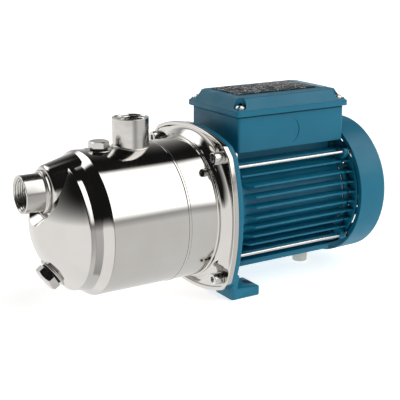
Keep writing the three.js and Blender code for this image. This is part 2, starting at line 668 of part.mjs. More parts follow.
/** Ear of the rear shield that carries one tie rod. */
function shieldEar(y, z) {
  const lean = -Math.atan2(y, z) * 180 / Math.PI;
  const arm = prismX(polygon([[-5, 0], [5, 0], [5, 26], [-5, 26]]), SHIELD_FRONT, SHIELD_REAR);
  return barX(5, SHIELD_FRONT, SHIELD_REAR, y, z, TINY)
    .add(arm.translate([0, 0, 47]).rotate([lean, 0, 0]));
}

/** Short fins on the rear shield, in line with the frame's, with a ring behind them. */
function shieldFins() {
  const bars = finRows().map((z) => finBar(SHIELD_FRONT, SHIELD_FINS_END, z));
  return join(...bars)
    .subtract(barX(58, SHIELD_FRONT - 1, SHIELD_FINS_END + 1, 0, 0, LARGE))
    .add(tubeX(58, FIN_TIP_R, SHIELD_FINS_END - 2.3, SHIELD_FINS_END, LARGE));
}

function addRearShield() {
  const back = SHIELD_REAR;
  const seat = BEARING.outerR + GAP;
  const hub = revolved([
    [REAR_BEARING - 1, seat], [REAR_BEARING - 1, 26], [141, 27], [SHIELD_FRONT, 30],
    [SHIELD_FRONT, 47.5], [135, 47.5], [135, 51.9], [SHIELD_FRONT, 51.9],
    [SHIELD_FRONT, 60], [back, 60], [back, 7.5], [145, 7.5], [145, seat],
  ], MEDIUM);
  const { y, z, r } = TIE_ROD;
  const ears = CORNERS.map(([sy, sz]) => shieldEar(sy * y, sz * z));
  const holes = CORNERS.map(([sy, sz]) => barX(r + GAP, 140, back + 3, sy * y, sz * z, TINY));
  addPart('rear_shield', join(hub, shieldFins(), ...ears).subtract(join(...holes)), 'blue');
  const springFrom = REAR_BEARING + BEARING.width + 0.5;
  addPart('wave_spring', waveWasher(springFrom, 1.9, 16, 19.4), 'stainless');
}

/** A thin washer with three waves around its rim. */
function waveWasher(from, height, inner, outer) {
  const profile = [[from, inner], [from, outer], [from + 0.5, outer], [from + 0.5, inner]];
  const ring = anticlockwise(profile.map(([x, r]) => [r, x]));
  const points = [...ring, ring[0]].map(([r, x]) => new THREE.Vector2(r, x));
  const washer = new THREE.LatheGeometry(points, SMALL + 2).rotateZ(-Math.PI / 2);
  const position = washer.attributes.position;
  for (let i = 0; i < position.count; i += 1) {
    const turn = Math.atan2(position.getY(i), position.getZ(i));
    const wave = (height - 0.5) / 2 * (1 + Math.cos(3 * turn));
    position.setX(i, position.getX(i) + wave);
  }
  return toSolid(washer);
}

function addTieRods() {
  const { y, z, r } = TIE_ROD;
  CORNERS.forEach(([sy, sz], i) => {
    const rod = barX(r, -14, SHIELD_REAR + 1, 0, 0, TINY);
    const head = prismX(hexagon(TIE_ROD.headFlats), SHIELD_REAR + 0.4, SHIELD_REAR + 4.2);
    addPart(`tie_rod_${CORNER_NAMES[i]}`, rod.add(head).translate([0, sy * y, sz * z]), 'zinc');
  });
}

function addFan() {
  const { from, to, r, hubR, blades } = FAN;
  const hub = tubeX(6.8, hubR, from - 2, to - 4, SMALL);
  const disc = revolved([[from, hubR - 1], [from + 2, 42], [from + 4, 42], [from + 3, hubR - 1]], SMALL);
  const blade = prismX(polygon([[-1.1, hubR - 1.5], [1.1, hubR - 1.5], [1.1, r], [-1.1, r]]), from + 1, to);
  addPart('fan', hub.add(disc).add(aroundShaft(blade, blades)), 'blackPlastic');
}

/** One arc-shaped air slot of the fan grille. */
function grilleSlot(inner, outer, start, end) {
  const shape = new THREE.Shape();
  shape.absarc(0, 0, outer, start, end, false);
  shape.absarc(0, 0, inner, end, start, true);
  shape.closePath();
  return prismX(shape, COVER_END - 4, COVER_END + 1, 2);
}

function addFanCover() {
  const [front, end, outer] = [FAN_COVER_FRONT, COVER_END, FAN_COVER_R];
  const shell = revolved([
    [front, outer], [end - 6, outer - 0.9], [end - 2, outer - 3], [end, outer - 7.5], [end, 0],
    [end - 2.2, 0], [end - 2.2, outer - 8.5], [end - 4, outer - 4.6],
    [end - 7, outer - 2.9], [front, outer - 1.9],
  ], LARGE);
  const { rows, tall, sectors, rib } = GRILLE;
  const sector = 2 * Math.PI / sectors;
  const slots = rows.flatMap((inner) => {
    const margin = rib / (inner + rib);
    const starts = Array.from({ length: sectors }, (_, i) => i * sector + margin);
    return starts.map((start) => grilleSlot(inner, inner + tall, start, start + sector - 2 * margin));
  });
  const lip = tubeX(75, outer - 1, front + 2.1, front + 3.6, LARGE);
  addPart('fan_cover', shell.add(lip).subtract(join(...slots)), 'blue');
}

// ---------------------------------------------------------------- terminal box
/** A block whose top face is narrowed evenly. */
function taperedBlock(x0, x1, y, z0, z1, narrowing) {
  const shape = new THREE.BoxGeometry(x1 - x0, 2 * y, z1 - z0);
  const position = shape.attributes.position;
  for (let i = 0; i < position.count; i += 1) {
    if (position.getZ(i) > 0) {
      position.setX(i, position.getX(i) - Math.sign(position.getX(i)) * narrowing);
      position.setY(i, position.getY(i) - Math.sign(position.getY(i)) * narrowing);
    }
  }
  return toSolid(shape.translate((x0 + x1) / 2, 0, (z0 + z1) / 2));
}

const lidScrewPlaces = [
  ['front_near', LID_SCREW.x0, -LID_SCREW.y],
  ['front_far', LID_SCREW.x0, LID_SCREW.y],
  ['rear_far', LID_SCREW.x1, LID_SCREW.y],
  ['rear_near', LID_SCREW.x1, -LID_SCREW.y],
];
const GLAND = { x: 40, z: 82, r: 9.7 };
const KNOCKOUT = { x: 71.5, z: 80.5, r: 15 };
const PLATE = { x0: 22, x1: 128, y0: -22, y1: 34, thick: 0.6 };
const BOX_MIDDLE = (BOX.x0 + BOX.x1) / 2;
const BOX_HALF = (BOX.x1 - BOX.x0) / 2;

function boxOutline(inset) {
  return roundedRectangle(BOX_MIDDLE, 0, BOX_HALF - inset, BOX.y - inset, 3.5);
}

function addTerminalBox() {
  const { y, z0, z1, wall } = BOX;
  const posts = join(...atLidScrews(4.4, z0 + 1, z1, TINY));
  const postHoles = join(...atLidScrews(LID_SCREW.r + GAP, LID_SCREW.depth - 2, LID.z0, SMALL));
  const knockout = barY(KNOCKOUT.r, -y - 1, -y + 0.8, KNOCKOUT.x, KNOCKOUT.z, SMALL);
  const knockoutFace = barY(KNOCKOUT.r - 1, -y, -y + 1, KNOCKOUT.x, KNOCKOUT.z, SMALL);
  const shell = prismZ(boxOutline(0), z0, z1).subtract(prismZ(boxOutline(wall), z0 + wall, z1 + 1));
  const glandHole = barY(GLAND.r + GAP, y - 5, y + 1, GLAND.x, GLAND.z, SMALL);
  const leadHole = barZ(LEAD.r, z0 - 1, z0 + 5, LEAD.x, 0);
  const cuts = join(postHoles, knockout.subtract(knockoutFace), glandHole, leadHole);
  addPart('terminal_box', shell.add(posts).subtract(cuts), 'blue');
  const gasket = prismZ(boxOutline(0.4), z1 + GAP, LID.z0 - GAP);
  const opening = prismZ(boxOutline(2.2), z1, LID.z0);
  addPart('terminal_box_gasket', gasket.subtract(opening), 'rubber');
}

/** One upright bar at each of the lid's four screws. */
function atLidScrews(radius, from, to, segments) {
  return lidScrewPlaces.map(([, x, y]) => barZ(radius, from, to, x, y, segments));
}

function addLid() {
  const { x0, x1, y, z0, rim, top, slope } = LID;
  const middle = (x0 + x1) / 2;
  const outline = roundedRectangle(middle, 0, middle - x0, y, 3);
  const roof = taperedBlock(x0 + 0.6, x1 - 0.6, y - 0.6, rim - 0.1, top, slope);
  const outer = prismZ(outline, z0, rim).add(roof);
  const inner = taperedBlock(x0 + 6, x1 - 6, y - 6, z0 - 1, top - 3, slope + 1);
  const seats = join(...atLidScrews(8.4, z0, rim + 3.4, SMALL)).intersect(outer);
  const notches = join(...atLidScrews(6.8, rim, top + 1, SMALL));
  const holes = join(...atLidScrews(LID_SCREW.r + GAP, z0 - 1, top, SMALL));
  addPart('terminal_box_lid', outer.subtract(inner).add(seats).subtract(join(notches, holes)), 'blue');
  const plateFrom = top + GAP;
  const plate = block(PLATE.x0, PLATE.x1, PLATE.y0, PLATE.y1, plateFrom, plateFrom + PLATE.thick);
  addPart('rating_plate', plate, 'blackPlastic');
}

/** Pan-head screws with a cross recess. */
function addLidScrews() {
  const { r, headR, depth } = LID_SCREW;
  const seat = LID.rim;
  const crest = seat + 3.4;
  const head = turned([
    [0, seat + GAP], [headR, seat + GAP], [headR, seat + 2.2], [headR - 1.4, crest], [0, crest],
  ], TINY);
  const arm = block(-3, 3, -0.6, 0.6, seat + 2, crest + 1);
  const cross = arm.add(arm.rotate([0, 0, 90]));
  const screw = head.add(barZ(r, depth, seat + 1, 0, 0, SMALL)).subtract(cross);
  for (const [name, x, y] of lidScrewPlaces) {
    addPart(`lid_screw_${name}`, screw.translate([x, y, 0]), 'zinc');
  }
}

function addElectrics() {
  const floor = BOX.z0 + BOX.wall + GAP;
  const stud = (x, y) => barZ(2.5, floor + 5, floor + 17, x, y, SMALL);
  const studs = [45, 59, 73].flatMap((x) => [stud(x, 12), stud(x, 26)]);
  const board = block(36, 82, 5, 33, floor, floor + 6);
  addPart('terminal_board', board.add(join(...studs)), 'brownPlastic');
  const can = revolved([[72, 0], [72, 13], [74, 15], [132, 15], [134, 13], [134, 0]], SMALL);
  addPart('run_capacitor', can.translate([0, -20, floor + 15.2]), 'resin');
  const { x, z, r } = GLAND;
  const wallFace = BOX.y;
  const glandBody = turned([
    [4.5, -9], [r, -9], [r, GAP], [11.5, GAP], [11.5, 6], [8.6, 6], [8.6, 15], [4.5, 15],
  ], SMALL);
  const domeNut = turned([
    [8.9, 6.5], [11.5, 6.5], [11.5, 14], [9, 19], [4.8, 20.5], [4.8, 15.3], [8.9, 15.3],
  ], SMALL);
  const aim = (solid) => solid.rotate([-90, 0, 0]).translate([x, wallFace, z]);
  addPart('cable_gland', aim(glandBody), 'blackPlastic');
  addPart('cable_gland_nut', aim(domeNut), 'blackPlastic');
}

addCasing();
addPorts();
addCasingFlange();
addCasingCover();
addFlangeScrews();
addEjector();
addDiffuser();
addImpeller();
addShaftSeal();
addBracket();
addFrame();
addSupportFoot();
addStator();
addRotor();
addBearing('front', 0);
addBearing('rear', REAR_BEARING);
addRearShield();
addTieRods();
addFan();
addFanCover();
addTerminalBox();
addLid();
addLidScrews();
addElectrics();

export default assembly;
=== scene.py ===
"""Looks of a shallow well jet pump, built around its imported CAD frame.

Shapes are written in millimetres in the pump's own frame: x is the station along the
shaft from the front bearing, y points away from the camera, z is up from the shaft axis.
"""

import json
import math

import bmesh
import bpy
import numpy as np
from mathutils import Matrix, Vector

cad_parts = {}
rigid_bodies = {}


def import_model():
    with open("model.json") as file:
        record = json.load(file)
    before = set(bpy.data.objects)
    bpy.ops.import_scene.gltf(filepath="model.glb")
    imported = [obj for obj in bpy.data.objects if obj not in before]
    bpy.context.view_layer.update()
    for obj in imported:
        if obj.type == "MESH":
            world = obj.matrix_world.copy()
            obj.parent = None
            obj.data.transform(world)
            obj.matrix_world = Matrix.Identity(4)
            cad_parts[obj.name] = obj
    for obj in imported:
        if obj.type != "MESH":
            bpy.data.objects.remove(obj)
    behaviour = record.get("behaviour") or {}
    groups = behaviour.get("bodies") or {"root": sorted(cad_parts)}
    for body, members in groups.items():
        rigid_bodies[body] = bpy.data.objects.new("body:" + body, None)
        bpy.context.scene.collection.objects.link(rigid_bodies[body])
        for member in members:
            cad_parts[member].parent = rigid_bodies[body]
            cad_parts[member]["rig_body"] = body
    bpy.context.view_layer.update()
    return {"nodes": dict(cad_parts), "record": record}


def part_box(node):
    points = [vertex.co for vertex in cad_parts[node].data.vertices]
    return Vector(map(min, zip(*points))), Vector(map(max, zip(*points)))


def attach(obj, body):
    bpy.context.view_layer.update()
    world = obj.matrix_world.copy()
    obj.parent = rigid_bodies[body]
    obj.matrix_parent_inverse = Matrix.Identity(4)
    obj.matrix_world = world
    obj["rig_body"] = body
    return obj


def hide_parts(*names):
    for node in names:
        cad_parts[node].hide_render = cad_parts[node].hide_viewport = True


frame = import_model()

MM = 0.001
STATION_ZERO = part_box("front_bearing_outer")[0].x
SHAFT_HEIGHT = (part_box("shaft")[0].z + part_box("shaft")[1].z) / 2
TAU = 2 * math.pi


# ------------------------------------------------------------------ solids
# A solid is (points, faces): a list of (x, y, z) in millimetres and a list of index lists.
AXIS_GAP = 0.02  # how near to the axis an outline that closes on it comes


def polar(reach, angle):
    return reach * math.cos(angle), reach * math.sin(angle)


def merge(*solids):
    points, faces = [], []
    for more_points, more_faces in solids:
        start = len(points)
        points += [tuple(p) for p in more_points]
        faces += [[start + i for i in face] for face in more_faces]
    return points, faces


def placed(solid, matrix):
    return [tuple(matrix @ Vector(p)) for p in solid[0]], solid[1]


def shifted(solid, x=0.0, y=0.0, z=0.0):
    return [(a + x, b + y, c + z) for a, b, c in solid[0]], solid[1]


def along_x(solid, x=0.0, y=0.0, z=0.0):
    """Turns a solid made about Z so that its axis is X, then moves it."""
    return [(c + x, a + y, b + z) for a, b, c in solid[0]], solid[1]


def along_y(solid, x=0.0, y=0.0, z=0.0):
    return [(b + x, c + y, a + z) for a, b, c in solid[0]], solid[1]


def rounded(points, radius=1.0, steps=4, closed=False):
    """A line through 2-D points with its corners rounded. A third value sets a corner's own radius."""
    count = len(points)
    line = []
    for i, point in enumerate(points):
        here = Vector(point[:2])
        wanted = point[2] if len(point) > 2 else radius
        if wanted <= 0 or (not closed and i in (0, count - 1)):
            line.append(tuple(here))
            continue
        before = Vector(points[i - 1][:2]) - here
        after = Vector(points[(i + 1) % count][:2]) - here
        if before.length < 1e-9 or after.length < 1e-9:
            line.append(tuple(here))
            continue
        angle = before.angle(after)
        if angle > math.pi - 0.02 or angle < 0.02:
            line.append(tuple(here))
            continue
        reach = min(wanted / math.tan(angle / 2), before.length * 0.49, after.length * 0.49)
        bend = reach * math.tan(angle / 2)
        centre = here + (before.normalized() + after.normalized()).normalized() * (bend / math.sin(angle / 2))
        start = here + before.normalized() * reach - centre
        end = here + after.normalized() * reach - centre
        turn = math.atan2(start.x * end.y - start.y * end.x, start.dot(end))
        for k in range(steps + 1):
            part = turn * k / steps
            cosine, sine = math.cos(part), math.sin(part)
            x = centre.x + start.x * cosine - start.y * sine
            y = centre.y + start.x * sine + start.y * cosine
            line.append((x, y))
    return line


def loft(rings, closed=False):
    """Joins rings of equal length. Open lofts get a cap on each end."""
    points = [p for ring in rings for p in ring]
    n = len(rings[0])
    faces = []
    pairs = len(rings) if closed else len(rings) - 1
    for k in range(pairs):
        a, b = k * n, ((k + 1) % len(rings)) * n
        faces += [[a + i, a + (i + 1) % n, b + (i + 1) % n, b + i] for i in range(n)]
    if not closed:
        faces.append(list(range(n))[::-1])
        faces.append([(len(rings) - 1) * n + i for i in range(n)])
    return points, faces


def lathe(profile, segments=96, radius=None, closed=True):
    """Turns (height, reach) points about Z. radius(reach, angle) bends each ring's outline."""
    bend = radius or (lambda reach, angle: reach)
    rings = []
    for height, reach in profile:
        ring = []
        for i in range(segments):
            angle = TAU * i / segments
            ring.append((*polar(bend(reach, angle), angle), height))
        rings.append(ring)
    return loft(rings, closed)


def turned(profile, segments=96, **options):
    """A lathe form whose outline starts and ends on the axis."""
    kept_off = [(height, max(reach, AXIS_GAP)) for height, reach in profile]
    return lathe(kept_off, segments, closed=False, **options)


def ring_form(profile, segments=96, steps=4, radius=None):
    """A closed profile with rounded corners, turned about Z."""
    return lathe(rounded(profile, 0, steps, closed=True), segments, radius)


def round_form(profile, segments=96, steps=4):
    """A profile with rounded corners that starts and ends on the axis, turned about Z."""
    return turned(rounded(profile, 0, steps), segments)


def cylinder(radius, start, end, segments=96):
    return turned([(start, 0), (start, radius), (end, radius), (end, 0)], segments)


def tube(inner, outer, start, end, edge=0.4, segments=96):
    corners = [(start, inner), (start, outer), (end, outer), (end, inner)]
    return lathe(rounded(corners, edge, 3, closed=True), segments)


def inset_outline(outline, amount):
    """Moves an anticlockwise outline inwards, corner by corner."""
    n = len(outline)
    moved = []
    for i, (x, y) in enumerate(outline):
        px, py = outline[i - 1]
        qx, qy = outline[(i + 1) % n]
        a = Vector((-(y - py), x - px)).normalized()
        b = Vector((-(qy - y), qx - x)).normalized()
        mid = a + b
        mid = mid / max(mid.dot(a), 0.3)
        moved.append((x + mid.x * amount, y + mid.y * amount))
    return moved


def anticlockwise(outline):
    area = 0
    for (x0, y0), (x1, y1) in zip(outline[-1:] + outline[:-1], outline):
        area += x0 * y1 - x1 * y0
    return outline if area > 0 else outline[::-1]


def prism(outline, start, end, edge=0.0, steps=2):
    """An outline in (x, y) extruded along Z, with rounded end edges."""
    outline = anticlockwise(outline)
    if edge <= 0:
        levels = [(start, 0), (end, 0)]
    else:
        angles = [math.pi / 2 * k / steps for k in range(steps + 1)]
        bends = [(edge * (1 - math.sin(a)), edge * (1 - math.cos(a))) for a in angles]
        levels = [(start + rise, inset) for inset, rise in bends]
        levels += [(end - rise, inset) for inset, rise in bends[::-1]]
    return loft([[(x, y, height) for x, y in inset_outline(outline, inset)] for height, inset in levels])


def rectangle(x0, x1, y0, y1, radius=1.0, steps=4):
    return rounded([(x0, y0), (x1, y0), (x1, y1), (x0, y1)], radius, steps, closed=True)


def hex_radius(flats):
    """The outline of a hexagon as a radius at an angle."""
    def radius(angle):
        return flats / 2 / math.cos((angle + math.pi / 6) % (math.pi / 3) - math.pi / 6)
    return radius


def hex_head(flats, base, top, chamfer=0.5, segments=72):
    """A hexagon head standing on z = base, its top corners turned off at 30 degrees."""
    shape = hex_radius(flats)
    face = flats / 2 - chamfer * 0.2
    edge = 0.15
    rings = [[] for _ in range(6)]
    for i in range(segments):
        angle = TAU * i / segments
        corner = shape(angle)
        shoulder = top - (corner - face) * math.tan(math.pi / 6)
        levels = [(AXIS_GAP, base), (corner - edge, base), (corner, base + edge)]
        levels += [(corner, shoulder), (face, top), (AXIS_GAP, top)]
        for ring, (reach, height) in zip(rings, levels):
            ring.append((*polar(reach, angle), height))
    return loft(rings)


THREAD_FLAT = 0.12  # share of the pitch that is flat, at crest and root


def thread_rings(start, end, crest, root, pitch, segments=72, per_pitch=6, lead=1.2):
    """Rings along Z whose radius follows a screw thread that runs out at both ends."""
    rows = int((end - start) / pitch * per_pitch)
    rings = []
    for k in range(rows + 1):
        height = start + (end - start) * k / rows
        ease = max(0.0, min(1.0, (height - start) / lead, (end - height) / lead))
        ring = []
        for i in range(segments):
            angle = TAU * i / segments
            wave = abs(2 * (((height - start) / pitch - i / segments) % 1.0) - 1)
            wave = min(max((wave - THREAD_FLAT) / (1 - 2 * THREAD_FLAT), 0), 1)
            ring.append((*polar(root + (crest - root) * wave * ease, angle), height))
        rings.append(ring)
    return rings


def bpy_mesh(name, solid, scale=None):
    points, faces = solid
    mesh = bpy.data.meshes.new(name)
    mesh.from_pydata([tuple(p) for p in points], [], faces)
    mesh.validate()
    if scale:
        mesh.transform(scale)
    return mesh


def modified(solid, *settings):
    """The solid after Blender modifiers, each given as (type, {property: value})."""
    target = bpy.data.objects.new("work", bpy_mesh("work", solid))
    bpy.context.scene.collection.objects.link(target)
    helpers = []
    for kind, values in settings:
        modifier = target.modifiers.new(kind, kind)
        for key, value in values.items():
            if key == "object":
                value = bpy.data.objects.new("helper", bpy_mesh("helper", value))
                bpy.context.scene.collection.objects.link(value)
                helpers.append(value)
            setattr(modifier, key, value)
    graph = bpy.context.evaluated_depsgraph_get()
    mesh = bpy.data.meshes.new_from_object(target.evaluated_get(graph))
    result = [tuple(v.co) for v in mesh.vertices], [list(p.vertices) for p in mesh.polygons]
    for item in [target, *helpers]:
        data = item.data
        bpy.data.objects.remove(item)
        bpy.data.meshes.remove(data)
    bpy.data.meshes.remove(mesh)
    return result


def outward(solid):
    """Faces turned so that every closed shell's normals point out."""
    work = bmesh.new()
    mesh = bpy_mesh("outward", solid)
    work.from_mesh(mesh)
    bmesh.ops.remove_doubles(work, verts=work.verts, dist=1e-5)
    bmesh.ops.recalc_face_normals(work, faces=work.faces)
    work.verts.index_update()
    result = [tuple(v.co) for v in work.verts], [[v.index for v in f.verts] for f in work.faces]
    work.free()
    bpy.data.meshes.remove(mesh)
    return result


def combined(solid, other, operation):
    """The boolean of two solids."""
    settings = {"operation": operation, "solver": "EXACT", "object": outward(other)}
    return modified(outward(solid), ("BOOLEAN", settings))


def cut(solid, *cutters):
    return combined(solid, merge(*cutters), "DIFFERENCE")


def unite(solid, *others):
    for other in others:
        solid = combined(solid, other, "UNION")
    return solid


# ------------------------------------------------------------------ pieces
TO_ROW = Matrix.Translation((STATION_ZERO, 0, SHAFT_HEIGHT)) @ Matrix.Diagonal((MM, MM, MM, 1))
CORNERS = {"top_near": (-1, 1), "top_far": (1, 1), "bottom_far": (1, -1), "bottom_near": (-1, -1)}


def body_of(node):
    return frame["nodes"][node]["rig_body"]


def piece(name, solid, slot_name, *nodes, body=None, crease=32):
    """Adds a detailed piece that rides a body and stands for the CAD nodes given, if any."""
    mesh = bpy_mesh(name, outward(solid), TO_ROW)
    mesh.shade_smooth()
    mesh.set_sharp_from_angle(angle=math.radians(crease))
    made = bpy.data.objects.new(name, mesh)
    bpy.context.scene.collection.objects.link(made)
    mesh.materials.append(FINISHES[slot_name])
    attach(made, body or body_of(nodes[0]))
    if nodes:
        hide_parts(*nodes)
    return made


# ------------------------------------------------------------------ materials
class Look:
    """A material made of nodes around one Principled shader."""

    def __init__(self, name):
        self.material = bpy.data.materials.new(name)
        self.material.use_nodes = True
        self.tree = self.material.node_tree
        self.shader = self.tree.nodes["Principled BSDF"]
        self.place = self.tree.nodes.new("ShaderNodeTexCoord").outputs["Object"]

    def node(self, kind, inputs=None, **settings):
        made = self.tree.nodes.new(kind)
        for key, value in settings.items():
            setattr(made, key, value)
        for key, value in (inputs or {}).items():
            if isinstance(value, bpy.types.NodeSocket):
                self.tree.links.new(value, made.inputs[key])
            else:
                made.inputs[key].default_value = value
        return made

    def mapped(self, stretch=(1, 1, 1), turn=(0, 0, 0)):
        inputs = {"Vector": self.place, "Scale": stretch, "Rotation": turn}
        return self.node("ShaderNodeMapping", inputs).outputs["Vector"]

    def noise(self, scale, detail=3.0, stretch=(1, 1, 1), rough=0.5):
        inputs = {"Vector": self.mapped(stretch), "Scale": scale, "Detail": detail, "Roughness": rough}
        return self.node("ShaderNodeTexNoise", inputs).outputs["Fac"]

    def wave(self, scale, axis="X", distortion=0.0, profile="SIN"):
        inputs = {"Vector": self.place, "Scale": scale, "Distortion": distortion}
        made = self.node("ShaderNodeTexWave", inputs, bands_direction=axis, wave_profile=profile)
        return made.outputs["Fac"]

    def ramp(self, factor, *stops):
        made = self.node("ShaderNodeValToRGB", {"Fac": factor})
        elements = made.color_ramp.elements
        elements[0].position, elements[0].color = stops[0][0], (*stops[0][1], 1)
        elements[1].position, elements[1].color = stops[-1][0], (*stops[-1][1], 1)
        for position, colour in stops[1:-1]:
            elements.new(position).color = (*colour, 1)
        return made.outputs["Color"]

    def spread(self, factor, low, high, start=0.35, end=0.65):
        inputs = {"Value": factor, "From Min": start, "From Max": end, "To Min": low, "To Max": high}
        return self.node("ShaderNodeMapRange", inputs).outputs["Result"]

    def maths(self, operation, a, b=0.0):
        made = self.node("ShaderNodeMath", operation=operation)
        for slot, value in ((0, a), (1, b)):
            if isinstance(value, bpy.types.NodeSocket):
                self.tree.links.new(value, made.inputs[slot])
            else:
                made.inputs[slot].default_value = value
        return made.outputs["Value"]

    def blend(self, factor, a, b):
        made = self.node("ShaderNodeMix", data_type="RGBA")
        for key, value in (("Factor_Float", factor), ("A_Color", a), ("B_Color", b)):
            socket = next(s for s in made.inputs if s.identifier == key)
            if isinstance(value, bpy.types.NodeSocket):
                self.tree.links.new(value, socket)
            else:
                socket.default_value = (*value, 1) if key != "Factor_Float" else value
        return next(s for s in made.outputs if s.identifier == "Result_Color")

    def colour(self, socket):
        self.tree.links.new(socket, self.shader.inputs["Base Color"])
        return self

    def roughness(self, socket):
        self.tree.links.new(socket, self.shader.inputs["Roughness"])
        return self

    def bump(self, height, depth, strength=1.0, after=None):
        inputs = {"Height": height, "Distance": depth, "Strength": strength}
        made = self.node("ShaderNodeBump", inputs)
        if after is not None:
            self.tree.links.new(after, made.inputs["Normal"])
        self.tree.links.new(made.outputs["Normal"], self.shader.inputs["Normal"])
        return made.outputs["Normal"]

    def fixed(self, **values):
        for key, value in values.items():
            self.shader.inputs[key.replace("_", " ")].default_value = value
        return self


def varied(name, low, high, rough, scale, depth, metal=0.0, stretch=(1, 1, 1), fine=None, **fixed):
    """A finish whose colour, roughness and surface all vary with noise."""
    look = Look(name)
    look.colour(look.ramp(look.noise(scale, 4, stretch), (0.3, low), (0.7, high)))
    look.roughness(look.spread(look.noise(scale * 1.7, 3, stretch), *rough))
    look.bump(look.noise(fine or scale * 6, 2, stretch), depth)
    look.fixed(Metallic=metal, **fixed)
    return look


def polished_look():
    look = Look("polished_stainless")
    smudge = look.noise(26, 4)
    look.colour(look.ramp(smudge, (0.3, (0.565, 0.548, 0.525)), (0.7, (0.60, 0.585, 0.562))))
    look.roughness(look.spread(look.noise(38, 5), 0.045, 0.085))
    lines = look.noise(1.0, 2, (2600, 55, 55))
    look.bump(lines, 0.0000035)
    look.fixed(Metallic=1.0)
    return look


def paint_look():
    look = Look("blue_paint")
    cloud = look.noise(18, 3)
    look.colour(look.ramp(cloud, (0.3, (0.0040, 0.140, 0.232)), (0.7, (0.0056, 0.160, 0.258))))
    look.roughness(look.spread(look.noise(60, 4), 0.36, 0.48))
    peel = look.noise(520, 3)
    grain = look.noise(2200, 2)
    first = look.bump(peel, 0.00006)
    look.bump(grain, 0.00001, after=first)
    look.fixed(Specular_IOR_Level=0.3)
    return look


def turned_look(name, low, high, rough):
    """Machined steel with fine rings round the shaft."""
    look = Look(name)
    rings = look.noise(1.0, 3, (1800, 8, 8))
    look.colour(look.ramp(rings, (0.35, low), (0.65, high)))
    look.roughness(look.spread(look.noise(120, 3), *rough))
    look.bump(rings, 0.00001)
    look.fixed(Metallic=1.0)
    return look


def lamination_look():
    look = Look("laminations")
    sheets = look.wave(320, "X", 0.2)
    look.colour(look.ramp(sheets, (0.2, (0.07, 0.075, 0.08)), (0.8, (0.20, 0.21, 0.22))))
    look.roughness(look.spread(look.noise(90), 0.4, 0.6))
    look.bump(sheets, 0.0001)
    look.fixed(Metallic=0.8)
    return look


def winding_look():
    look = Look("copper_winding")
    wires = look.wave(260, "DIAGONAL", 2.5)
    look.colour(look.ramp(wires, (0.1, (0.18, 0.055, 0.02)), (0.9, (0.52, 0.2, 0.075))))
    look.roughness(look.spread(look.noise(150), 0.28, 0.45))
    look.bump(wires, 0.0004)
    look.fixed(Metallic=0.9)
    return look


LABEL_ROW, LABEL_CELL = 0.0042, 0.021  # metres between the table's rules
LABEL_STRIP = 129.5  # station where the coloured strip starts


def label_look():
    """A black plate with a printed table: pale rules and rows of small dashes, no lettering."""
    look = Look("label_black")
    place = look.node("ShaderNodeSeparateXYZ", {"Vector": look.place})
    x, y = place.outputs["X"], place.outputs["Y"]
    row = look.maths("FRACT", look.maths("MULTIPLY", y, 1 / LABEL_ROW))
    cell = look.maths("FRACT", look.maths("MULTIPLY", x, 1 / LABEL_CELL))
    rule = look.maths("LESS_THAN", row, 0.07)
    post = look.maths("LESS_THAN", cell, 0.02)
    dashes = look.noise(1.0, 1.0, (520, 240, 1))
    ink = look.maths("GREATER_THAN", dashes, 0.53)
    band = look.maths("MULTIPLY", look.maths("GREATER_THAN", row, 0.35), look.maths("LESS_THAN", row, 0.75))
    inside = look.maths("GREATER_THAN", cell, 0.12)
    patches = look.maths("GREATER_THAN", look.noise(70, 1), 0.47)
    dash = look.maths("MULTIPLY", look.maths("MULTIPLY", ink, band), look.maths("MULTIPLY", inside, patches))
    mark = look.maths("MAXIMUM", look.maths("MAXIMUM", rule, post), dash)
    soft = look.maths("MULTIPLY", mark, 0.95)
    black = look.ramp(look.noise(60), (0.3, (0.003, 0.003, 0.004)), (0.7, (0.007, 0.007, 0.008)))
    strip = look.maths("GREATER_THAN", x, STATION_ZERO + LABEL_STRIP * MM)
    base = look.blend(strip, black, (0.14, 0.36, 0.48))
    look.colour(look.blend(soft, base, (0.80, 0.83, 0.86)))
    look.roughness(look.spread(look.noise(200), 0.28, 0.4))
    look.bump(look.noise(900), 0.00001)
    look.fixed(Specular_IOR_Level=0.04)
    return look


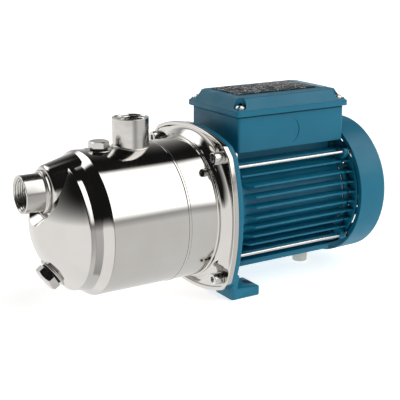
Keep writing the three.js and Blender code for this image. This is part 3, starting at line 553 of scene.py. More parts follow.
FINISHES = {
    "polished_stainless": polished_look(),
    "stainless": varied(
        "stainless", (0.535, 0.52, 0.50), (0.585, 0.57, 0.548), (0.17, 0.24), 60, 0.000004, 1.0, (1, 1, 3)),
    "zinc_screws": varied(
        "zinc_screws", (0.58, 0.58, 0.57), (0.70, 0.70, 0.68), (0.18, 0.30), 240, 0.00002, 1.0),
    "blue_paint": paint_look(),
    "black_plastic": varied(
        "black_plastic", (0.009, 0.009, 0.010), (0.018, 0.018, 0.019), (0.38, 0.52), 140, 0.00004),
    "rubber_seals": varied(
        "rubber_seals", (0.008, 0.008, 0.008), (0.016, 0.016, 0.016), (0.62, 0.8), 180, 0.00005),
    "ivory_plastic": varied(
        "ivory_plastic", (0.60, 0.57, 0.50), (0.68, 0.66, 0.60), (0.42, 0.56), 120, 0.00004),
    "shaft_steel": turned_look("shaft_steel", (0.42, 0.42, 0.42), (0.58, 0.58, 0.57), (0.18, 0.3)),
    "bearing_steel": turned_look("bearing_steel", (0.50, 0.51, 0.52), (0.62, 0.63, 0.64), (0.1, 0.18)),
    "laminations": lamination_look(),
    "copper_winding": winding_look(),
    "rotor_alloy": varied(
        "rotor_alloy", (0.38, 0.39, 0.40), (0.55, 0.56, 0.57), (0.36, 0.52), 160, 0.00008, 0.9),
    "seal_carbon": varied(
        "seal_carbon", (0.018, 0.018, 0.02), (0.034, 0.034, 0.036), (0.36, 0.5), 200, 0.00002),
    "seal_ceramic": varied(
        "seal_ceramic", (0.70, 0.67, 0.60), (0.78, 0.76, 0.70), (0.22, 0.34), 150, 0.00001),
    "label_black": label_look(),
    "brown_resin": varied(
        "brown_resin", (0.10, 0.045, 0.018), (0.17, 0.08, 0.034), (0.4, 0.55), 130, 0.00003),
    "capacitor_can": varied(
        "capacitor_can", (0.035, 0.037, 0.04), (0.055, 0.058, 0.062), (0.4, 0.55), 110, 0.00003),
}
FINISHES = {name: look.material for name, look in FINISHES.items()}


SLOT_OF = {part["node"]: part["material_slot"] for part in frame["record"]["subparts"]}
for node_name, cad_object in frame["nodes"].items():
    for material_slot in cad_object.material_slots:
        material_slot.material = FINISHES[SLOT_OF[node_name]]


# ------------------------------------------------------------------ casing
CASING_R, SEAM, WALL = 76.0, -72.5, 2.0
DOME_R, DOME_X, DOME_DEPTH, DOME_POWER = 67.0, -178.0, 32.5, 1.9
PORT_Z, SEAT_X = 39.0, -198.0
PORT_R, BORE_R, THROAT_R, THREAD_DEPTH = 19.6, 16.6, 12.5, 17.0
SUCTION_RIM, DISCHARGE_X, DISCHARGE_TOP = -222.7, -98.0, 105.2
G1_PITCH, G38_PITCH = 2.309, 1.337
PRIMING_X, PRIMING_SEAT, PRIMING_BOSS_R = -135.0, 75.2, 14
DRAIN_R, DRAIN_BOSS_R = 49.0, 17
BAND_X, BAND_R, SHOULDER_X, SHOULDER_R, BARREL_X = -173.0, 67.6, -165.5, 69.9, -157.0


def dome_at(radius):
    return DOME_X - DOME_DEPTH * (1 - (radius / DOME_R) ** DOME_POWER)


def dense(line, step=2.0):
    """The same line with its long stretches divided."""
    result = [line[0]]
    for (x0, y0), (x1, y1) in zip(line[:-1], line[1:]):
        parts = max(1, round(math.hypot(x1 - x0, y1 - y0) / step))
        result += [(x0 + (x1 - x0) * k / parts, y0 + (y1 - y0) * k / parts) for k in range(1, parts + 1)]
    return result


def casing_form(inset, end):
    """The casing's filled form, moved inwards by inset: domed body, port boss, pocket round the port."""
    lift = inset * 0.5
    dome = [(dome_at(r) + inset, r * (1 - inset / DOME_R)) for r in np.linspace(0, DOME_R - 1.6, 40)]
    rim = rounded([
        dome[-1], (DOME_X + inset - 0.1, DOME_R - inset, 1.3), (BAND_X + lift, BAND_R - inset, 2.5),
        (SHOULDER_X + lift, SHOULDER_R - inset, 3.5), (BARREL_X + lift, CASING_R - inset, 3.5),
        (end, CASING_R - inset),
    ], 0, 6)
    body = along_x(turned([*dome[:-1], *dense(rim), (end, 0)], 192))
    front = SEAT_X + inset
    boss = rounded([(front, 0), (front, 26 - inset, 4.2), (-163, 35.4 - inset), (-163, 0)], 0, 6)
    boss = along_x(turned(dense(boss), 128), 0, 0, PORT_Z)
    pocket = rounded([
        (front, 0), (front, 27.4 + inset, 3.5), (-206, 31.5 + inset, 6), (-224, 41 + inset), (-224, 0),
    ], 0, 6)
    pocket = along_x(turned(dense(pocket), 128), 0, 0, PORT_Z)
    return cut(unite(body, boss), pocket)


def casing_shell():
    holes = [
        along_x(cylinder(17.3, -8, 8, 64), SEAT_X, 0, PORT_Z),
        shifted(cylinder(THROAT_R, 60, 90, 64), DISCHARGE_X),
        shifted(cylinder(PRIMING_BOSS_R + 0.3, -14, 8, 64), PRIMING_X, 0, PRIMING_SEAT),
        placed(cylinder(DRAIN_BOSS_R + 0.3, -16, 12, 64), DRAIN_FRAME),
    ]
    return cut(cut(casing_form(0.0, SEAM), casing_form(WALL, SEAM + 1)), *holes)


DRAIN_SLOPE = DOME_DEPTH * DOME_POWER / DOME_R * (DRAIN_R / DOME_R) ** (DOME_POWER - 1)
DRAIN_TILT = math.atan(DRAIN_SLOPE)
DRAIN_TURN = Matrix.Rotation(-math.pi / 2 - DRAIN_TILT, 4, "Y")
DRAIN_FRAME = Matrix.Translation((dome_at(DRAIN_R), 0, -DRAIN_R)) @ DRAIN_TURN
PRIMING_FRAME = Matrix.Translation((PRIMING_X, 0, PRIMING_SEAT))

piece("casing_shell_skin", casing_shell(), "polished_stainless", "casing_shell", crease=40)


FLANGE_HALF = 91.0  # from the shaft to the middle of a side
ROUND_R, SQUARE_R = 80, 86  # round within the first, bulged square beyond the second


def bulged_outline(inset):
    """A square with four bulged sides and cut corners, the flange's outline."""
    arc, half, corner = 190.0, FLANGE_HALF - inset, 68.0 - 0.41 * inset
    spread = math.asin(corner / arc)
    line = []
    for side in range(4):
        turn = side * math.pi / 2
        for k in range(17):
            angle = turn - spread + 2 * spread * k / 16
            x = (half - arc) * math.cos(turn) + arc * math.cos(angle)
            y = (half - arc) * math.sin(turn) + arc * math.sin(angle)
            line.append((x, y, 7.0) if k in (0, 16) else (x, y, 0))
    return rounded(line, 0, 6, closed=True)


def polar_table(outline):
    """Angles and radii of an outline, close enough together to read between."""
    points = []
    for i, (x0, y0) in enumerate(outline):
        x1, y1 = outline[(i + 1) % len(outline)]
        parts = max(1, int(math.hypot(x1 - x0, y1 - y0) / 0.8))
        points += [(x0 + (x1 - x0) * k / parts, y0 + (y1 - y0) * k / parts) for k in range(parts)]
    pairs = sorted((math.atan2(y, x) % TAU, math.hypot(x, y)) for x, y in points)
    return [p[0] for p in pairs], [p[1] for p in pairs]


TABLES = {}


def flange_radius(reach, angle):
    """A circle near the shaft, the bulged square further out, and a smooth change between."""
    if reach <= ROUND_R:
        return reach
    inset = round(FLANGE_HALF - max(reach, SQUARE_R), 3)
    if inset not in TABLES:
        TABLES[inset] = polar_table(bulged_outline(inset))
    square = float(np.interp(angle, *TABLES[inset], period=TAU))
    if reach >= SQUARE_R:
        return square
    share = (reach - ROUND_R) / (SQUARE_R - ROUND_R)
    share = share * share * (3 - 2 * share)
    return reach + (square - reach) * share


FLANGE_LINE = [
    (-72.2, 74), (-72.2, 76.7, 0.5), (-70.0, 76.7, 0.6), (-69.2, 76, 0.6), (-38.6, 76, 0.8),
    (-37.8, 77.4, 0.6), (-36.6, 77.4, 0.6), (-36.0, 76.5, 0.6), (-34.6, 76.6, 0.6), (-33.8, 77.8, 0.8),
    (-31.2, 79.9, 2.4), (-26.2, 83, 2.6), (-26.2, 86.4, 1.0), (-28, 86.8, 0.7), (-28, 90.95, 1.2),
    (-22, FLANGE_HALF, 0.6), (-22, 80.3, 0.3), (-25, 80.3, 0.3), (-25, 74),
]
flange = along_x(ring_form(FLANGE_LINE, 288, radius=flange_radius))
piece("casing_flange_skin", flange, "polished_stainless", "casing_flange", crease=40)


def bead(path, radius, sides=10):
    """A closed round weld along a ring of points."""
    n = len(path)
    rings = []
    for i, here in enumerate(path):
        ahead = (Vector(path[(i + 1) % n]) - Vector(path[i - 1])).normalized()
        out = (Vector((0, 0, 1)) - ahead * ahead.z).normalized()
        side = ahead.cross(out)
        spots = [polar(radius, TAU * k / sides) for k in range(sides)]
        rings.append([tuple(Vector(here) + out * across + side * up) for across, up in spots])
    return loft(rings, closed=True)


def port(outside):
    """A threaded port about Z, its mouth at 0 and its bore going up.

    outside runs from the throat round to the mouth.
    """
    segments = 72
    line = rounded([*outside, (0, BORE_R + 1.1, 0.3), (1.2, BORE_R)], 0, 4)
    points = lathe(line, segments)[0]
    sleeve = [points[k:k + segments] for k in range(0, len(points), segments)]
    thread = thread_rings(1.3, THREAD_DEPTH, 15.5, BORE_R, G1_PITCH, segments)
    return loft(sleeve + thread, closed=True)


seat = SEAT_X - SUCTION_RIM
suction = port([
    (THREAD_DEPTH + 0.6, THROAT_R), (seat + 7.7, THROAT_R), (seat + 7.7, 17), (seat - 0.3, 17),
    (seat - 0.3, 22.3, 0.3), (seat - 3.2, 22.3, 1.4), (seat - 3.9, PORT_R, 1.4), (0, PORT_R, 0.5),
])
suction = along_x(suction, SUCTION_RIM, 0, PORT_Z)
piece("suction_port_sleeve", suction, "stainless", "suction_port", crease=40)

discharge = port([(THREAD_DEPTH + 0.6, THROAT_R), (39, THROAT_R), (39, PORT_R - 0.3), (0, PORT_R - 0.3, 0.5)])
discharge_place = Matrix.Translation((DISCHARGE_X, 0, DISCHARGE_TOP))
discharge = placed(discharge, discharge_place @ Matrix.Rotation(math.pi, 4, "X"))
saddle = along_x(cylinder(CASING_R + 0.2, -30, 30, 192), DISCHARGE_X)


def weld_path(count=96):
    """The line where the discharge port's outside meets the casing."""
    path = []
    for k in range(count):
        x, y = polar(PORT_R, TAU * k / count)
        path.append((DISCHARGE_X + x, y, math.sqrt((CASING_R + 0.1) ** 2 - y ** 2)))
    return path


discharge = merge(cut(discharge, saddle), bead(weld_path(), 1.1))
piece("discharge_port_sleeve", discharge, "stainless", "discharge_port", crease=40)


# ------------------------------------------------------------------ plugs and screws
def plug(name, place, boss, washer_r, flats, top, chamfer, turn=0.0):
    """A hexagon plug on its washer in a welded socket, whose mouth is at 0 on Z."""
    bore = 8
    socket = ring_form([(-9, bore), (-9, boss), (0, boss, 0.9), (0, bore, 0.4)], 72)
    piece(f"{name}_socket_ring", placed(socket, place), "stainless", f"{name}_socket")
    washer = ring_form([(0.3, bore), (0.3, washer_r, 0.5), (1.7, washer_r, 0.5), (1.7, bore)], 72)
    piece(f"{name}_washer_ring", placed(washer, place), "rubber_seals", f"{name}_washer")
    sides = 48
    points = turned([(-8, 0), (-8, 6.6)], sides)[0]
    tip = [(x * 0.01, y * 0.01, 2.2) for x, y, _ in points[sides:]]
    thread = thread_rings(-7.6, 1.6, 7.6, 6.9, G38_PITCH, sides, 6, 0.8)
    shank = loft([points[:sides], points[sides:], *thread, tip])
    head = placed(hex_head(flats, 2.0, top, chamfer), Matrix.Rotation(turn, 4, "Z"))
    piece(f"{name}_plug_body", placed(merge(shank, head), place), "stainless", f"{name}_plug", crease=28)


plug("priming", PRIMING_FRAME, PRIMING_BOSS_R, washer_r=9.3, flats=19, top=8.8, chamfer=1.6)
plug("drain", DRAIN_FRAME, DRAIN_BOSS_R, washer_r=12.6, flats=25.6, top=10.4, chamfer=5.0,
     turn=math.radians(12))


def socket_shape(reach, angle):
    """Hexagonal inside the socket, round outside it."""
    return hex_radius(2 * reach)(angle) if reach <= 3.01 else reach


SCREW_TOP, SCREW_Y, SCREW_Z = -37.8, 64, 65.5
ROD_R, ROD_Y, ROD_Z = 1.8, 53.5, 49.5
screw_line = rounded([
    (SCREW_TOP + 4.6, AXIS_GAP), (SCREW_TOP + 4.6, 3.0), (SCREW_TOP + 0.3, 3.0), (SCREW_TOP, 3.9, 0.1),
    (SCREW_TOP, 6.5, 0.9), (-26.5, 6.5, 0.3), (-26.5, 4), (-9, 4, 0.5), (-9, AXIS_GAP),
], 0, 4)
for corner, (side, up) in CORNERS.items():
    screw = lathe(screw_line, 72, socket_shape, closed=False)
    screw = along_x(screw, 0, side * SCREW_Y, up * SCREW_Z)
    piece(f"flange_screw_{corner}_body", screw, "zinc_screws", f"flange_screw_{corner}")
    rod = round_form([(-14, 0), (-14, ROD_R, 0.4), (149.5, ROD_R), (149.5, 0)], 32, 3)
    rod = along_x(merge(rod, hex_head(7, 149.4, 153.2, 0.9, 48)), 0, side * ROD_Y, up * ROD_Z)
    piece(f"tie_rod_{corner}_body", rod, "zinc_screws", f"tie_rod_{corner}")

# ------------------------------------------------------------------ bracket
FLOOR = -92.0
LUG = {"front": -16.5, "back": 20.0, "inner": 38.0, "outer": 70.5, "tall": 13.0, "low": 10.3}
SLOT_MOUTH, SLOT_END, SLOT_HALF = (49, 59), 9, 4.9
BRACKET_LINE = [
    (-21.7, 66, 0.5), (-21.7, 90, 1.0), (-15.5, 90, 1.4), (-15.5, 77.5, 1.5), (-10, 75, 2), (-6, 60, 1),
    (-6, 51.9), (4, 51.9), (4, 47.5), (-4, 46), (-4, 27), (16, 27), (16, 20.3), (-0.3, 20.3),
    (-0.3, 15.5), (-3, 15.5), (-3, 11), (-10.5, 11), (-10.5, 56, 2), (-16, 64, 1),
]


def lug_foot(side):
    """The sole of a lug: an open slot to the rear, and a top that falls from front to back."""
    front, back, inner, outer = (LUG[key] for key in ("front", "back", "inner", "outer"))
    outline = rounded([
        (front, inner, 2), (front, outer, 3), (back, outer, 2.5), (back, SLOT_MOUTH[1], 1),
        (SLOT_END, SLOT_MOUTH[1], SLOT_HALF), (SLOT_END, SLOT_MOUTH[0], SLOT_HALF),
        (back, SLOT_MOUTH[0], 1), (back, inner, 2),
    ], 0, 5, closed=True)
    rings = []
    base = anticlockwise(outline)
    for inset, rise, drop in ((0.6, 0, 0), (0, 0.6, 0), (0, 1, 1.2), (0.35, 1, 0.35), (1.2, 1, 0)):
        ring = []
        for x, y in inset_outline(base, inset):
            top = LUG["tall"] + (LUG["low"] - LUG["tall"]) * (x - front) / (back - front)
            ring.append((x, side * y, FLOOR + (rise if rise < 1 else top - drop)))
        rings.append(ring)
    return loft(rings)


def foot_lug(side):
    """One slotted lug, with the leg and the rib that join it to the bracket's disc."""
    inner, outer = side * LUG["inner"], side * LUG["outer"]
    leg = rounded([
        (inner, FLOOR + 0.5), (outer, FLOOR + 0.5), (side * (LUG["outer"] + 0.3), FLOOR + 13),
        (side * 75, -64), (side * 44, -56),
    ], 1.5, 3, closed=True)
    leg = along_x(prism(leg, LUG["front"] + 0.1, -9.5, 0.8))
    rib_line = rounded([
        (-12, FLOOR + 1), (13, FLOOR + 1), (13, FLOOR + 11), (-4, -66), (-12, -62),
    ], 2.5, 4, closed=True)
    points, faces = prism(rib_line, -2.5, 2.5, 0.7)
    rib = [(x, side * 41 + across, z) for x, z, across in points], faces
    return unite(lug_foot(side), leg, rib)


bracket = along_x(ring_form(BRACKET_LINE, 240, radius=flange_radius))
bracket = unite(bracket, foot_lug(1), foot_lug(-1))
piece("motor_bracket_casting", bracket, "blue_paint", "motor_bracket", crease=35)


# ------------------------------------------------------------------ motor frame
FRAME_R, FRAME_BORE, FIN_TIP_R, FIN_ROOT_R = 57.0, 52.3, 68.0, 57.0
FIN_PITCH, FIN_FRONT, FIN_FRONT_LOW, FIN_END, UPPER_FINS = 11.1, 5, 8, 141, 33
FRAME_START, FRAME_END = -5.7, 143


def fin(z, side, first, last, slant):
    """One cooling fin: slightly tapered, its tip rounded and its front end slanted."""
    tip, root = math.sqrt(FIN_TIP_R ** 2 - z ** 2), math.sqrt(FIN_ROOT_R ** 2 - z ** 2) - 1.6
    outline = rounded([
        (root, -2.6), (root + 2.2, -1.5, 1.2), (tip, -1.15, 0.9), (tip, 1.15, 0.9), (root + 2.2, 1.5, 1.2),
        (root, 2.6),
    ], 0, 4, closed=True)
    outline = anticlockwise(outline)
    front = ((0.45, 0), (0.12, 0.12), (0, 0.45))
    levels = [(inset, step, False) for inset, step in front]
    levels += [(inset, step, True) for inset, step in front[::-1]]
    rings = []
    for inset, step, at_end in levels:
        ring = []
        for y, t in inset_outline(outline, inset):
            radius = math.hypot(y, z + t)
            start = first + slant * max(0.0, radius - FIN_ROOT_R) * 9 / 11
            ring.append((last - step if at_end else start + step, side * y, z + t))
        rings.append(ring)
    return loft(rings)


FIN_ROWS = [((i + 0.5) * FIN_PITCH, side) for i in range(-5, 5) for side in (-1, 1)]


def frame_fin(z, side):
    if z > UPPER_FINS:
        return fin(z, side, FIN_FRONT, FIN_END, 0)
    return fin(z, side, FIN_FRONT_LOW, FIN_END, 1)


def motor_frame():
    barrel = ring_form([
        (FRAME_START, FRAME_BORE), (FRAME_START, FRAME_R, 0.6),
        (FRAME_END, FRAME_R, 0.6), (FRAME_END, FRAME_BORE),
    ], 192, 3)
    fins = merge(*[frame_fin(z, side) for z, side in FIN_ROWS])
    pad = prism(rectangle(12, 140, -32, 32, 1), 47, 62.2, 0.5)
    rail = rounded([
        (-22, -50), (-22, -63, 2), (-38, -62.5, 1), (-38, -69, 1.2), (38, -69, 1.2), (38, -62.5, 1),
        (22, -63, 2), (22, -50),
    ], 0, 4, closed=True)
    solid = unite(along_x(barrel), fins, pad, along_x(prism(rail, 6, FIN_END, 0.6)))
    return cut(solid, along_x(cylinder(FRAME_BORE, -20, 160, 192)))


piece("motor_frame_casting", motor_frame(), "blue_paint", "motor_frame", crease=32)

spigot = along_x(tube(55.6, 58.4, 141.4, 142.7, 0.3, 192))
piece("frame_spigot_ring", spigot, "stainless", body=body_of("motor_frame"))
support = round_form([
    (FLOOR, 0), (FLOOR, 8.6, 1.2), (-72, 9, 0.8), (-69.3, 7.5, 0.5), (-69.3, 3.8), (-62, 3.8), (-62, 0),
], 64)
piece("support_foot_pad", shifted(support, 128), "ivory_plastic", "support_foot")

# ------------------------------------------------------------------ rear shield, fan and cover
SHIELD_FRONT, SHIELD_REAR = 143.3, 149
STUB_FRONT, STUB_END = 143.4, 155.4
SHIELD_LINE = [
    (129, 20.3), (129, 26, 1), (141, 27, 1), (SHIELD_FRONT, 30), (SHIELD_FRONT, 47.5), (135, 47.5),
    (135, 51.9), (SHIELD_FRONT, 51.9), (SHIELD_FRONT, 60, 0.8), (SHIELD_REAR, 60, 1.2), (SHIELD_REAR, 7.5),
    (145, 7.5), (145, 20.3),
]


def shield_ear(side, up):
    """The lug that takes one tie rod."""
    turn = math.atan2(up * ROD_Z, side * ROD_Y)
    outline = rounded([(50, -6), (72.9, -5, 5), (79, 0, 5), (72.9, 5, 5), (50, 6)], 0, 6, closed=True)
    cosine, sine = math.cos(turn), math.sin(turn)
    outline = [(x * cosine - y * sine, x * sine + y * cosine) for x, y in outline]
    return along_x(prism(outline, STUB_FRONT, SHIELD_REAR, 0.7))


def rear_shield():
    ears = [shield_ear(side, up) for side, up in CORNERS.values()]
    stubs = [fin(z, side, STUB_FRONT, STUB_END, 0) for z, side in FIN_ROWS]
    ring = along_x(tube(58, 69.6, 153.2, 155.5, 0.5, 144))
    return unite(along_x(ring_form(SHIELD_LINE, 128)), merge(*ears), merge(*stubs), ring)


piece("rear_shield_casting", rear_shield(), "blue_paint", "rear_shield", crease=35)


FAN_BLADES = 7


def fan_wheel():
    hub = ring_form([(155, 6.8, 0.3), (155, 15, 1), (171, 15, 1), (171, 6.8, 0.3)], 64)
    disc = ring_form([(157, 14), (159, 42, 0.8), (161, 42, 0.8), (160, 14)], 96, 3)
    outline = rounded([(13.5, -1.3), (62.4, -0.9, 0.8), (62.4, 0.9, 0.8), (13.5, 1.3)], 0, 3, closed=True)
    blade = prism(outline, 158, 175, 0.4)
    turns = [TAU * k / FAN_BLADES + math.pi / 2 for k in range(FAN_BLADES)]
    blades = [placed(blade, Matrix.Rotation(turn, 4, "Z")) for turn in turns]
    return along_x(unite(hub, disc, merge(*blades)))


piece("fan_wheel", fan_wheel(), "black_plastic", "fan")

SLOT_WIDTH, SLOT_BAR, SLOT_STEPS, SLOT_COUNT = 8, 3, 22, 5
COVER_LINE = [
    (151.5, 79.9, 0.5), (186, 79.3, 5), (192.75, 72.5, 5.5), (192.75, AXIS_GAP), (190.9, AXIS_GAP),
    (190.9, 71.5, 4.5), (184.5, 77.4, 3.5), (151.5, 78.2, 0.5),
]


def grille_slot(inner, number):
    """One curved slot of the fan cover, between two bars."""
    margin = SLOT_BAR / (inner + SLOT_BAR)
    start = number * TAU / SLOT_COUNT + margin
    end = (number + 1) * TAU / SLOT_COUNT - margin
    swept = [(end - start) * j / SLOT_STEPS for j in range(SLOT_STEPS + 1)]
    arc = [polar(inner + SLOT_WIDTH, start + angle) for angle in swept]
    arc += [polar(inner, end - angle) for angle in swept]
    return along_x(prism(arc, 188, 196))


slots = [grille_slot(inner, number) for inner in (18, 32, 46) for number in range(SLOT_COUNT)]
lip = along_x(tube(72, 79, 153.6, 155.1, 0.4, 192))
cover = lathe(rounded(COVER_LINE, 0, 6), 192)
cover = cut(unite(along_x(cover), lip), *slots)
piece("fan_cover_shell", cover, "blue_paint", "fan_cover", crease=35)

# ------------------------------------------------------------------ terminal box
GLAND_X, GLAND_Y, GLAND_Z = 40, 46.5, 82
KNOCKOUT_X, KNOCKOUT_Y, KNOCKOUT_Z, KNOCKOUT_TILT = 71.5, -48.3, 80.5, 0.07
LID_SCREW_X, LID_SCREW_Y = (10.5, 142.8), 42
LID_SCREWS = {
    "front_near": (LID_SCREW_X[0], -LID_SCREW_Y), "front_far": (LID_SCREW_X[0], LID_SCREW_Y),
    "rear_far": (LID_SCREW_X[1], LID_SCREW_Y), "rear_near": (LID_SCREW_X[1], -LID_SCREW_Y),
}


def knockout_groove():
    """A ring groove, tilted so that it is cut on one side only."""
    points, faces = along_y(lathe([(0, 13.9), (0, 15.2), (1.5, 15.0), (1.5, 14.1)], 96))
    moved = [(x + KNOCKOUT_X, y + KNOCKOUT_Y + x * KNOCKOUT_TILT, z + KNOCKOUT_Z) for x, y, z in points]
    return moved, faces


def terminal_box():
    solid = prism(rectangle(5.5, 148.5, -46.5, 46.5, 3.5, 6), 62.5, 100.2, 0.6, 3)
    room = prism(rectangle(8.5, 145.5, -43.5, 43.5, 2, 4), 65.5, 104)
    gland_hole = along_y(cylinder(10, -4, 4, 48), GLAND_X, 45, GLAND_Z)
    lead_hole = shifted(cylinder(5, -3, 5, 32), 60, 0, 63)
    solid = cut(solid, room, knockout_groove(), gland_hole, lead_hole)
    post = cylinder(4.4, 63.5, 100, 32)
    return unite(solid, *[shifted(post, x, y) for x in LID_SCREW_X for y in (-LID_SCREW_Y, LID_SCREW_Y)])


piece("terminal_box_body", terminal_box(), "blue_paint", "terminal_box", crease=35)

seal = prism(rectangle(5.9, 148.1, -46.1, 46.1, 3.2, 6), 100.5, 101.5, 0.2)
seal = cut(seal, prism(rectangle(7.7, 146.3, -44.3, 44.3, 2, 6), 99, 103))
piece("terminal_box_seal", seal, "rubber_seals", "terminal_box_gasket")


def lid_ring(inset, height, radius):
    outline = rectangle(1.5 + inset, 151.8 - inset, -50 + inset, 50 - inset, radius, 6)
    return [(x, y, height) for x, y in anticlockwise(outline)]


def lid():
    """The lid: a straight rim, then four sloping sides up to a flat top. Levels are inset, height, radius."""
    rim = [(0.5, 101.8, 3), (0.12, 101.95, 3.2), (0, 102.3, 3.4), (0, 107.2, 3.4), (0.15, 107.6, 3.3)]
    slope = [(0.5, 107.8, 3), (1.1, 107.85, 2.6), (1.5, 108.3, 2.5), (8.9, 119.2, 1.8)]
    top = [(9.25, 119.65, 1.8), (9.8, 119.95, 1.6), (10.6, 120.1, 1.2)]
    solid = loft([lid_ring(*level) for level in [*rim, *slope, *top]])
    hollow = loft([lid_ring(4.5, 99, 2), lid_ring(4.5, 103, 2), lid_ring(14, 116.8, 2)])
    solid = cut(solid, hollow)
    for x, y in LID_SCREWS.values():
        solid = cut(solid, shifted(cylinder(6.4, 109.2, 123, 48), x, y))
    return solid


piece("terminal_box_lid_cover", lid(), "blue_paint", "terminal_box_lid", crease=35)


def lid_screw():
    """A cross-head screw about Z."""
    head = round_form([(109.4, 0), (109.4, 5.1, 0.3), (111.4, 5.1, 1.0), (113.2, 3.0, 1.8), (113.4, 0)], 48)
    shank = turned([(88, 0), (88, 1.6), (89, 2), (109.6, 2), (109.6, 0)], 24)
    for x, y in ((2.4, 0.5), (0.5, 2.4)):
        head = cut(head, prism(rectangle(-x, x, -y, y, 0.2, 2), 111.9, 115))
    return merge(head, shank)


screw_form = lid_screw()
for corner, (x, y) in LID_SCREWS.items():
    piece(f"lid_screw_{corner}_body", shifted(screw_form, x, y), "zinc_screws", f"lid_screw_{corner}")

plate = prism(rectangle(22, 128, -22, 34, 2, 5), 120.3, 120.95, 0.15)
strip = prism(rectangle(131, 141, -25, 35, 1, 5), 120.3, 120.6, 0.1)
piece("rating_plate_print", merge(plate, strip), "label_black", "rating_plate")

# ------------------------------------------------------------------ cable gland
GLAND_LINE = [
    (-9, 4.5), (-9, 9.7, 0.5), (0.3, 9.7), (0.3, 11.3, 0.5), (6, 11.3, 0.5), (6, 8.6), (15, 8.6), (15, 4.5),
]
NUT_LINE = [
    (6.5, 8.9), (6.5, 11.3, 0.4), (14, 11.3, 1.2), (19, 9, 2.0), (20.5, 4.8, 0.6), (15.3, 4.8), (15.3, 8.9),
]


def ribbed(reach, angle):
    """Grip ribs on whatever reaches beyond the gland's neck."""
    return reach * (1 + 0.02 * math.cos(12 * angle)) if reach > 10.9 else reach


gland = along_y(ring_form(GLAND_LINE, 96, 3, ribbed), GLAND_X, GLAND_Y, GLAND_Z)
piece("cable_gland_body", gland, "black_plastic", "cable_gland")
nut = along_y(ring_form(NUT_LINE, 96, 4, ribbed), GLAND_X, GLAND_Y, GLAND_Z)
piece("cable_gland_nut_body", nut, "black_plastic", "cable_gland_nut")


# ------------------------------------------------------------------ studio
def row(x, y, z):
    return TO_ROW @ Vector((x, y, z))


FLOOR_HALF, FLOOR_DROP = 30, -0.0002  # metres
scene = bpy.context.scene
floor = bpy.data.objects.new("floor", bpy.data.meshes.new("floor"))
corners = [(x * FLOOR_HALF, y * FLOOR_HALF, FLOOR_DROP) for x, y in ((-1, -1), (1, -1), (1, 1), (-1, 1))]
floor.data.from_pydata(corners, [], [[0, 1, 2, 3]])
scene.collection.objects.link(floor)
pale = Look("floor_pale")
pale.colour(pale.ramp(pale.noise(3, 2), (0.3, (0.80, 0.80, 0.80)), (0.7, (0.82, 0.82, 0.82))))
pale.fixed(Roughness=0.9, Emission_Color=(1, 1, 0.99, 1), Emission_Strength=0.7)
pale.shader.inputs["Specular IOR Level"].default_value = 0.0
floor.data.materials.append(pale.material)
floor.visible_glossy = False


SOFT_BOX_LEVEL, DARK_LEVEL = 2.2, 0.012


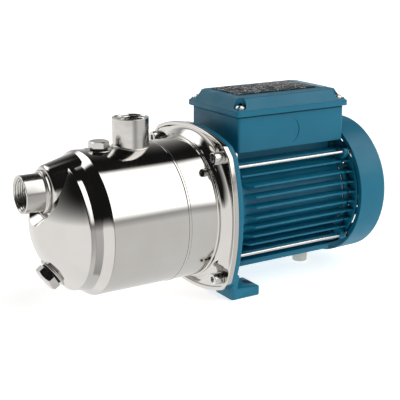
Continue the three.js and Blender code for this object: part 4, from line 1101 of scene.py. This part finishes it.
def studio():
    """A dark studio: a pale cove low down, and two large soft boxes. Angles are in degrees."""
    world = bpy.data.worlds.new("studio")
    world.use_nodes = True
    scene.world = world
    tree = world.node_tree

    def maths(operation, a, b=0.0):
        made = tree.nodes.new("ShaderNodeMath")
        made.operation = operation
        for slot, value in ((0, a), (1, b)):
            if isinstance(value, bpy.types.NodeSocket):
                tree.links.new(value, made.inputs[slot])
            else:
                made.inputs[slot].default_value = value
        return made.outputs["Value"]

    def step(value, start, end):
        made = tree.nodes.new("ShaderNodeMapRange")
        made.interpolation_type = "SMOOTHSTEP"
        for key, given in (("Value", value), ("From Min", start), ("From Max", end)):
            if isinstance(given, bpy.types.NodeSocket):
                tree.links.new(given, made.inputs[key])
            else:
                made.inputs[key].default_value = given
        return made.outputs["Result"]

    place = tree.nodes.new("ShaderNodeTexCoord").outputs["Generated"]
    split = tree.nodes.new("ShaderNodeSeparateXYZ")
    tree.links.new(place, split.inputs["Vector"])
    to_degrees = 180 / math.pi
    height = maths("MULTIPLY", maths("ARCSINE", split.outputs["Z"]), to_degrees)
    heading = maths("MULTIPLY", maths("ARCTAN2", split.outputs["Y"], split.outputs["X"]), to_degrees)

    def window(start, end, low, high, soft_left, soft_right, soft_low, soft_high):
        left = step(heading, start - soft_left, start + soft_left)
        right = step(heading, end + soft_right, end - soft_right)
        bottom = step(height, low - soft_low, low + soft_low)
        top = step(height, high + soft_high, high - soft_high)
        return maths("MULTIPLY", maths("MULTIPLY", left, right), maths("MULTIPLY", bottom, top))

    away = maths("ABSOLUTE", maths("SUBTRACT", heading, 50.0))
    away = maths("MINIMUM", away, maths("SUBTRACT", 360.0, away))
    fall = maths("POWER", maths("DIVIDE", away, 180.0), 1.5)
    reach = maths("SUBTRACT", 54.0, maths("MULTIPLY", fall, 42.0))
    rise = maths("MAXIMUM", maths("DIVIDE", height, reach), 0.0)
    cove = maths("POWER", maths("MAXIMUM", maths("SUBTRACT", 1.0, rise), 0.0), 2.0)
    near_left = maths("MULTIPLY", step(heading, -118, -80), -0.34)
    level = maths("ADD", 1.18, near_left)
    dip = maths("MULTIPLY", step(heading, -114, -94), step(heading, -68, -88))
    level = maths("SUBTRACT", level, maths("MULTIPLY", dip, 0.42))
    level = maths("ADD", level, maths("MULTIPLY", step(heading, 60, 110), 0.34))
    total = maths("ADD", maths("MULTIPLY", cove, level), DARK_LEVEL)
    for box in (window(-80, 5, 14, 84, 4, 11, 6, 4), window(86, 132, 26, 60, 7, 7, 7, 7)):
        total = maths("ADD", total, maths("MULTIPLY", box, SOFT_BOX_LEVEL))
    background = tree.nodes["Background"]
    tree.links.new(total, background.inputs["Strength"])
    background.inputs["Color"].default_value = (1.0, 0.995, 0.985, 1)


studio()

camera = bpy.data.objects.new("camera", bpy.data.cameras.new("camera"))
scene.collection.objects.link(camera)
scene.camera = camera
camera.data.lens = 87.36
camera.data.sensor_width = 36
camera.location = row(-558.18, -881.46, 291.82)
camera.rotation_mode = "QUATERNION"
AZIMUTH, ELEVATION = math.radians(-31.73), math.radians(15.56)
ahead = math.cos(ELEVATION)
sight = Vector((-math.sin(AZIMUTH) * ahead, math.cos(AZIMUTH) * ahead, -math.sin(ELEVATION)))
camera.rotation_quaternion = sight.to_track_quat("-Z", "Y")
scene.view_settings.view_transform = "Standard"
